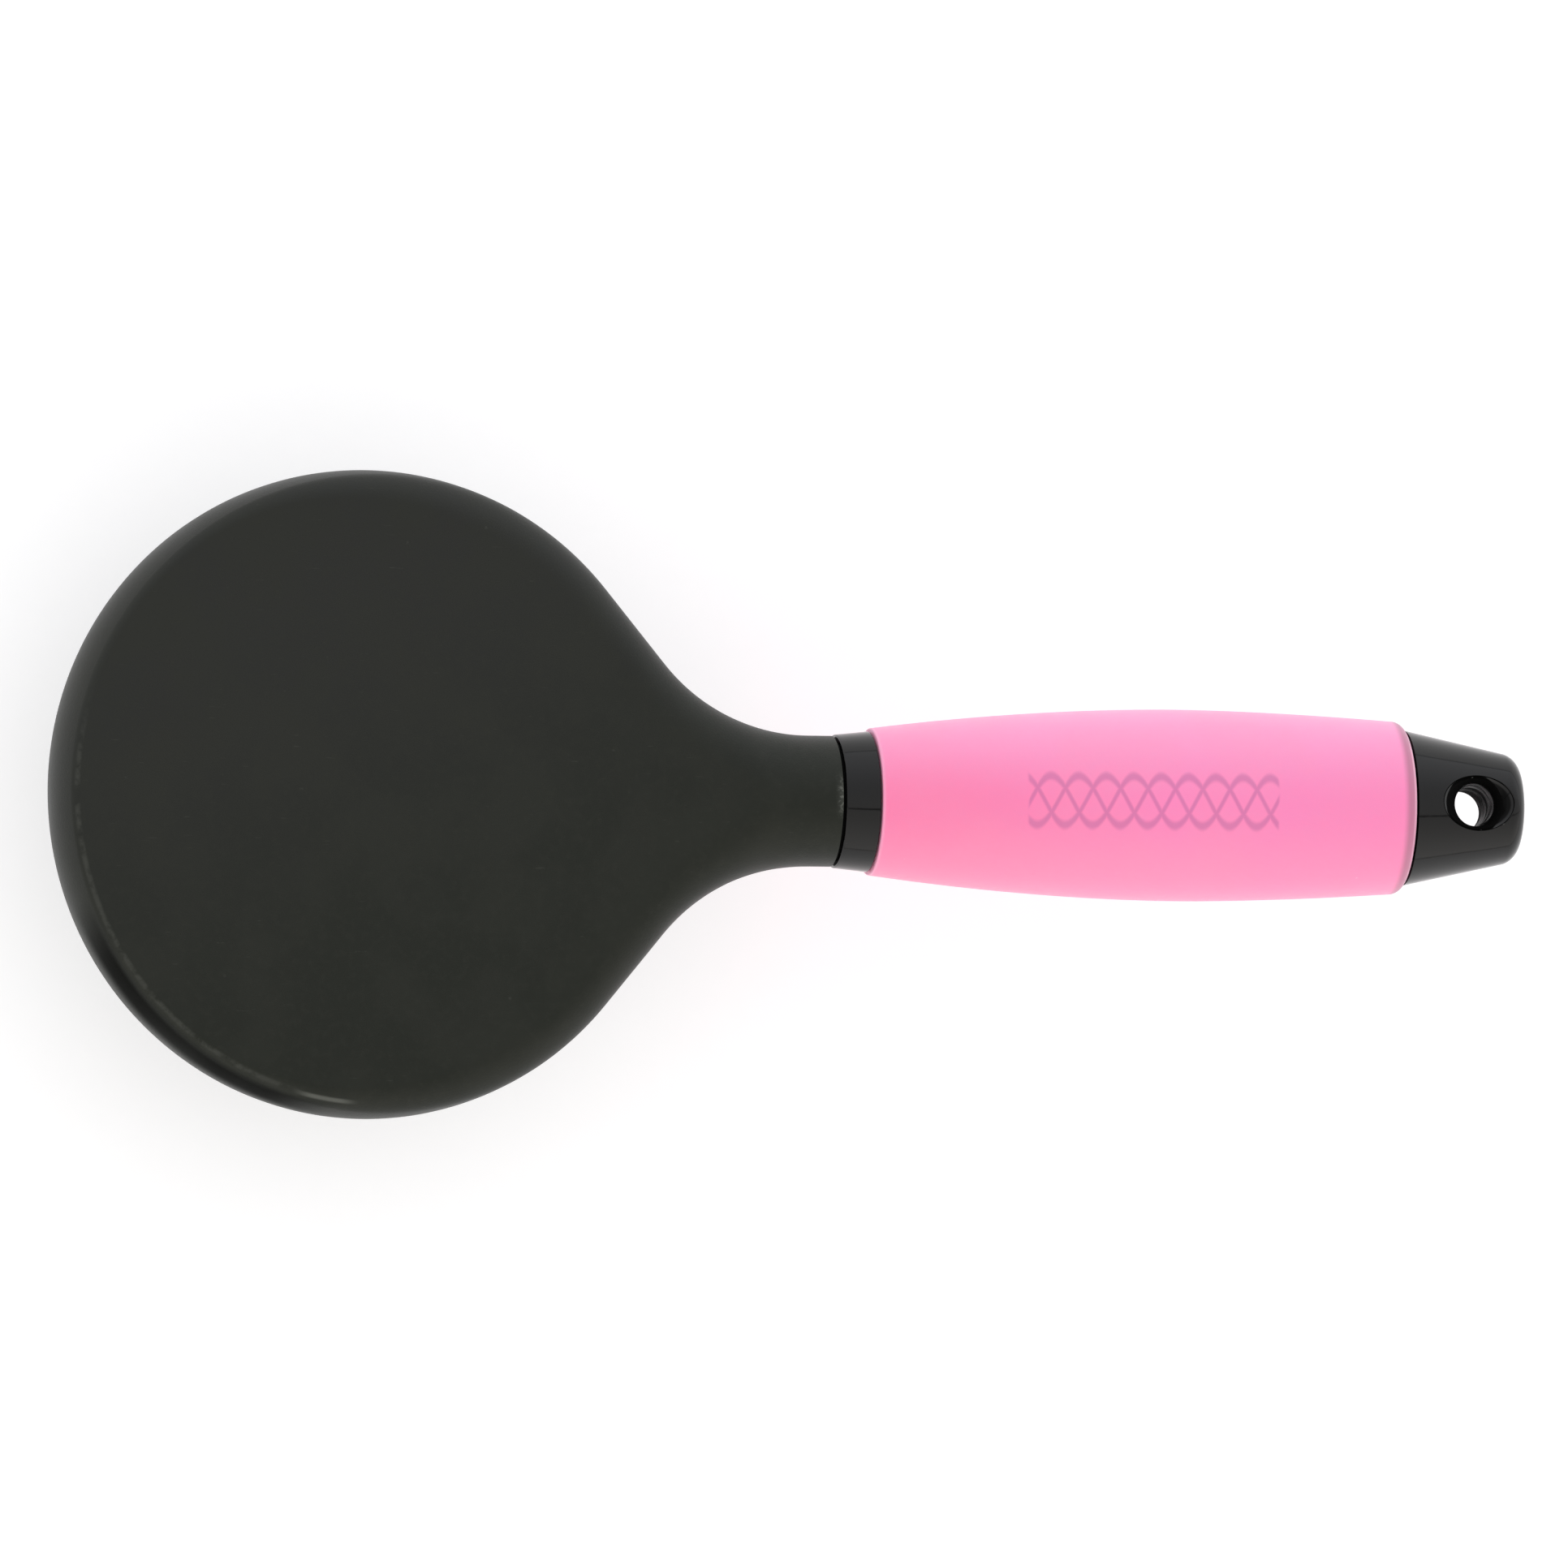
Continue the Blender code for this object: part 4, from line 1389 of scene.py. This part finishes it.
    def sleeve(self) -> None:
        """The gel sleeve, with a small round at its front lip and a full round at its rear."""
        lip, round_start = 0.25 * MM, self.sleeve_end - self.sleeve_round
        profile = list(
            arc((self.sleeve_start + lip, self.outer(self.sleeve_start + lip) - lip), lip, 180, 100, 4)
        )
        profile += [(a, self.outer(a)) for a in spread(self.sleeve_start + 2 * lip, round_start, 70)]
        rear = (round_start, self.outer(round_start) - self.sleeve_round)
        profile += list(arc(rear, self.sleeve_round, 88, 0, 14))
        profile += [(a, self.inner(a)) for a in spread(self.sleeve_end, self.sleeve_start, 24)]
        made = Maker.turned("gel_grip", profile, 160, Turn.X)
        self.settle(made, self.gel, "gel_sleeve", self.sleeve_start)

    def cap_wall(self, along: float) -> float:
        """The cap's radius on its cone."""
        share = (along - self.cap_start) / self.cone_length
        return self.cap_front + (self.cone_end - self.cap_front) * share

    def hole(self) -> bpy.types.Object:
        """Makes the hanging hole: a round bore that flares to an oval mouth at both ends.

        Each ring keeps an even depth below the cap's wall, so the mouth's rim is rounded evenly.

        Returns:
            The cutter.
        """
        sides, flare_steps, rim_steps, rim_turn = 96, 18, 5, math.radians(62)
        clear, widening = 1.2 * MM, 0.22
        centre, rim = self.cap_start + self.hole_at, 0.45 * MM
        half_length, half_width = self.mouth_length / 2, self.mouth_width / 2
        rings: list[tuple[float, float]] = []
        for i in range(flare_steps + 1):
            share = i / flare_steps
            depth = self.flare_depth + (rim - self.flare_depth) * share
            rings.append((depth, self.mouth_rim * share**self.flare_power))
        for i in range(1, rim_steps + 1):
            turn = rim_turn * i / rim_steps
            opening = (1 - math.cos(turn)) / (1 - math.cos(rim_turn))
            rings.append((rim * (1 - math.sin(turn)), self.mouth_rim + (1 - self.mouth_rim) * opening))
        depth, flare = rings[-1]
        rings.append((depth - clear, flare + widening))
        half: list[list[Vector]] = []
        for depth, flare in rings:
            long_radius = self.hole_radius + (half_length - self.hole_radius) * flare
            wide_radius = self.hole_radius + (half_width - self.hole_radius) * flare
            loop = []
            for i in range(sides):
                angle = 2 * math.pi * i / sides
                x = centre + long_radius * math.cos(angle)
                y = wide_radius * math.sin(angle)
                wall = math.sqrt(self.cap_wall(x) ** 2 - y * y)
                loop.append(Vector((x, y, wall - depth)))
            half.append(loop)
        half.append([Vector((p.x, p.y, self.cap_front + clear)) for p in half[-1]])
        other = [[Vector((p.x, p.y, -p.z)) for p in loop] for loop in reversed(half)]
        bm = bmesh.new()
        loops = [[bm.verts.new(p) for p in loop] for loop in other + half]
        for low, high in zip(loops, loops[1:]):
            for i in range(sides):
                bm.faces.new((low[i], low[(i + 1) % sides], high[(i + 1) % sides], high[i]))
        bm.faces.new(loops[0])
        bm.faces.new(loops[-1])
        return Maker.link("hanging_hole", bm)

    def cap(self) -> None:
        """The end cap: a plug, a tapering body and a rounded, slightly domed nose with its hole."""
        slope = math.atan2(self.cap_front - self.cone_end, self.cone_length)
        centre = (
            self.cap_start + self.cone_length - self.nose_radius * math.sin(slope),
            self.cone_end - self.nose_radius * math.cos(slope),
        )
        plug_start, ease = self.sleeve_end - self.plug_length, 0.6 * MM
        profile = [(plug_start, 0), (plug_start, self.plug_radius - ease)]
        profile.append((plug_start + ease, self.plug_radius))
        tongue_start = self.sleeve_end + self.tongue_gap
        profile += [(tongue_start, self.plug_radius), (tongue_start, self.cap_tongue)]
        profile += [(self.cap_start, self.cap_tongue), (self.cap_start, self.cap_front)]
        profile += [(a, self.cap_wall(a)) for a in spread(self.cap_start, centre[0], 12)[1:-1]]
        nose = list(arc(centre, self.nose_radius, 90 - math.degrees(slope), self.nose_end, 14))
        last_along, last_radius = nose[-1]
        profile += nose
        for share in self.NOSE_RINGS:
            profile.append((last_along + self.crown * (1 - share**2), last_radius * share))
        made = Maker.cut(Maker.turned("hanging_cap", profile, 192, Turn.X), self.hole())
        made.data.transform(Matrix.Rotation(self.cap_turn, 4, "X"))
        rims = self.mouth_rim * self.mouth_length / 2, self.mouth_rim * self.mouth_width / 2
        # The hole inside its rim, and the tongue and plug outside the cap's ends, turn matt and near
        # black: painted shade.
        gloss = Polished(
            "polished_cap_plastic",
            "gloss_black",
            hole_at=self.cap_start + self.hole_at,
            hole_half=rims,
            hole_turn=self.cap_turn,
            ends=(self.cap_start, self.cap_start + 2 * self.cone_length),
        )
        self.settle(made, gloss, "end_cap")

    def build(self) -> None:
        """Makes the handle's pieces in order from the neck."""
        self.collar()
        self.moulding.dress(frame["nodes"]["handle_core"])
        self.sleeve()
        self.cap()


# ---- The studio ---------------------------------------------------------------------------------


@dataclass
class Studio:
    """A light tent over a lit table, with a camera that looks down on the brush's back.

    span is the width of what the camera sees. The tent is dimmer overhead, where its share of the
    full strength is overhead, and its seam lies at seam_at from the zenith.
    """

    lean: float = math.radians(16.03)
    side_lean: float = math.radians(2.5)
    roll: float = math.radians(0.16)
    span: float = 256.0 * MM
    lens: float = 1500.0
    sensor: float = 36.0
    aim_right: float = 2.3 * MM
    aim_up: float = 3.0 * MM
    strength: float = 1.35
    overhead: float = 0.72
    seam_at: float = math.radians(15.0)
    seam_half: float = math.radians(0.9)
    table_size: float = 6.0
    table_gap: float = 0.1 * MM
    reach: Point = (0.1, 50.0)

    def table(self) -> None:
        """The table top, just below the lowest point of the brush."""
        bm = bmesh.new()
        bmesh.ops.create_grid(bm, x_segments=12, y_segments=12, size=self.table_size / 2)
        top = Maker.link("table_top", bm)
        top.location = (0, 0, cad_box[0].z - self.table_gap)
        top.data.materials.append(LitTable("lit_table", "").material())

    def tent(self) -> None:
        """The tent: pale all round, cooler on one side, with a seam overhead and a skirt."""
        world = bpy.data.worlds.new("light_tent")
        bpy.context.scene.world = world
        tree = ShaderTree(world)
        _, y, z = tree.axes(tree.coordinates("Generated"))
        tint = tree.mix(tree.ease(y, -0.7, 0.7), (1.0, 0.975, 0.95), (0.955, 0.965, 1.0))
        across = tree.maths("ARCTAN2", y * -1, z)
        seam = tree.band(across, self.seam_at, self.seam_half, self.seam_half)
        skirt = tree.band(z, 0.0, 0.012, 0.02)
        shade = 1 - tree.maths("MAXIMUM", seam * 0.75, skirt * 0.45)
        side = tree.ease(abs(across), math.radians(15), math.radians(75))
        overhead = self.overhead + (1 - self.overhead) * side
        level = shade * overhead * self.strength
        light = tree.wire(tree.node("ShaderNodeBackground", {"Color": tint, "Strength": level}))
        tree.node("ShaderNodeOutputWorld", {"Surface": light})

    def camera(self) -> None:
        """A long lens over the brush's back, leaning towards the head's end."""
        back = Vector((
            -math.sin(self.lean) * math.cos(self.side_lean),
            -math.sin(self.side_lean),
            math.cos(self.lean) * math.cos(self.side_lean),
        )).normalized()
        right = Vector((math.cos(self.lean), 0, math.sin(self.lean)))
        up = back.cross(right).normalized()
        right, up = (
            right * math.cos(self.roll) + up * math.sin(self.roll),
            up * math.cos(self.roll) - right * math.sin(self.roll),
        )
        data = bpy.data.cameras.new("long_lens")
        data.lens, data.sensor_width = self.lens, self.sensor
        camera = bpy.data.objects.new("long_lens", data)
        bpy.context.scene.collection.objects.link(camera)
        middle = (cad_box[0] + cad_box[1]) / 2
        target = middle + right * self.aim_right + up * self.aim_up
        distance = self.span * self.lens / self.sensor
        turn = Matrix((right, up, back)).transposed().to_4x4()
        camera.matrix_world = Matrix.Translation(target + back * distance) @ turn
        data.clip_start, data.clip_end = self.reach
        bpy.context.scene.camera = camera

    def build(self) -> None:
        """Sets up table, tent, camera and a plain colour transform."""
        self.table()
        self.tent()
        self.camera()
        bpy.context.scene.view_settings.view_transform = "Standard"
        LOG.info("studio: a table, a tent and a %.0f mm lens", self.lens)


def main() -> None:
    """Builds the brush and the studio."""
    logging.basicConfig(level=logging.INFO, format="%(name)s: %(message)s")
    paddle = Paddle()
    paddle.build()
    PinPad().build()
    Handle(place=paddle.handle_place(), heading=paddle.rise).build()
    Studio().build()


if __name__ == "__main__":
    main()
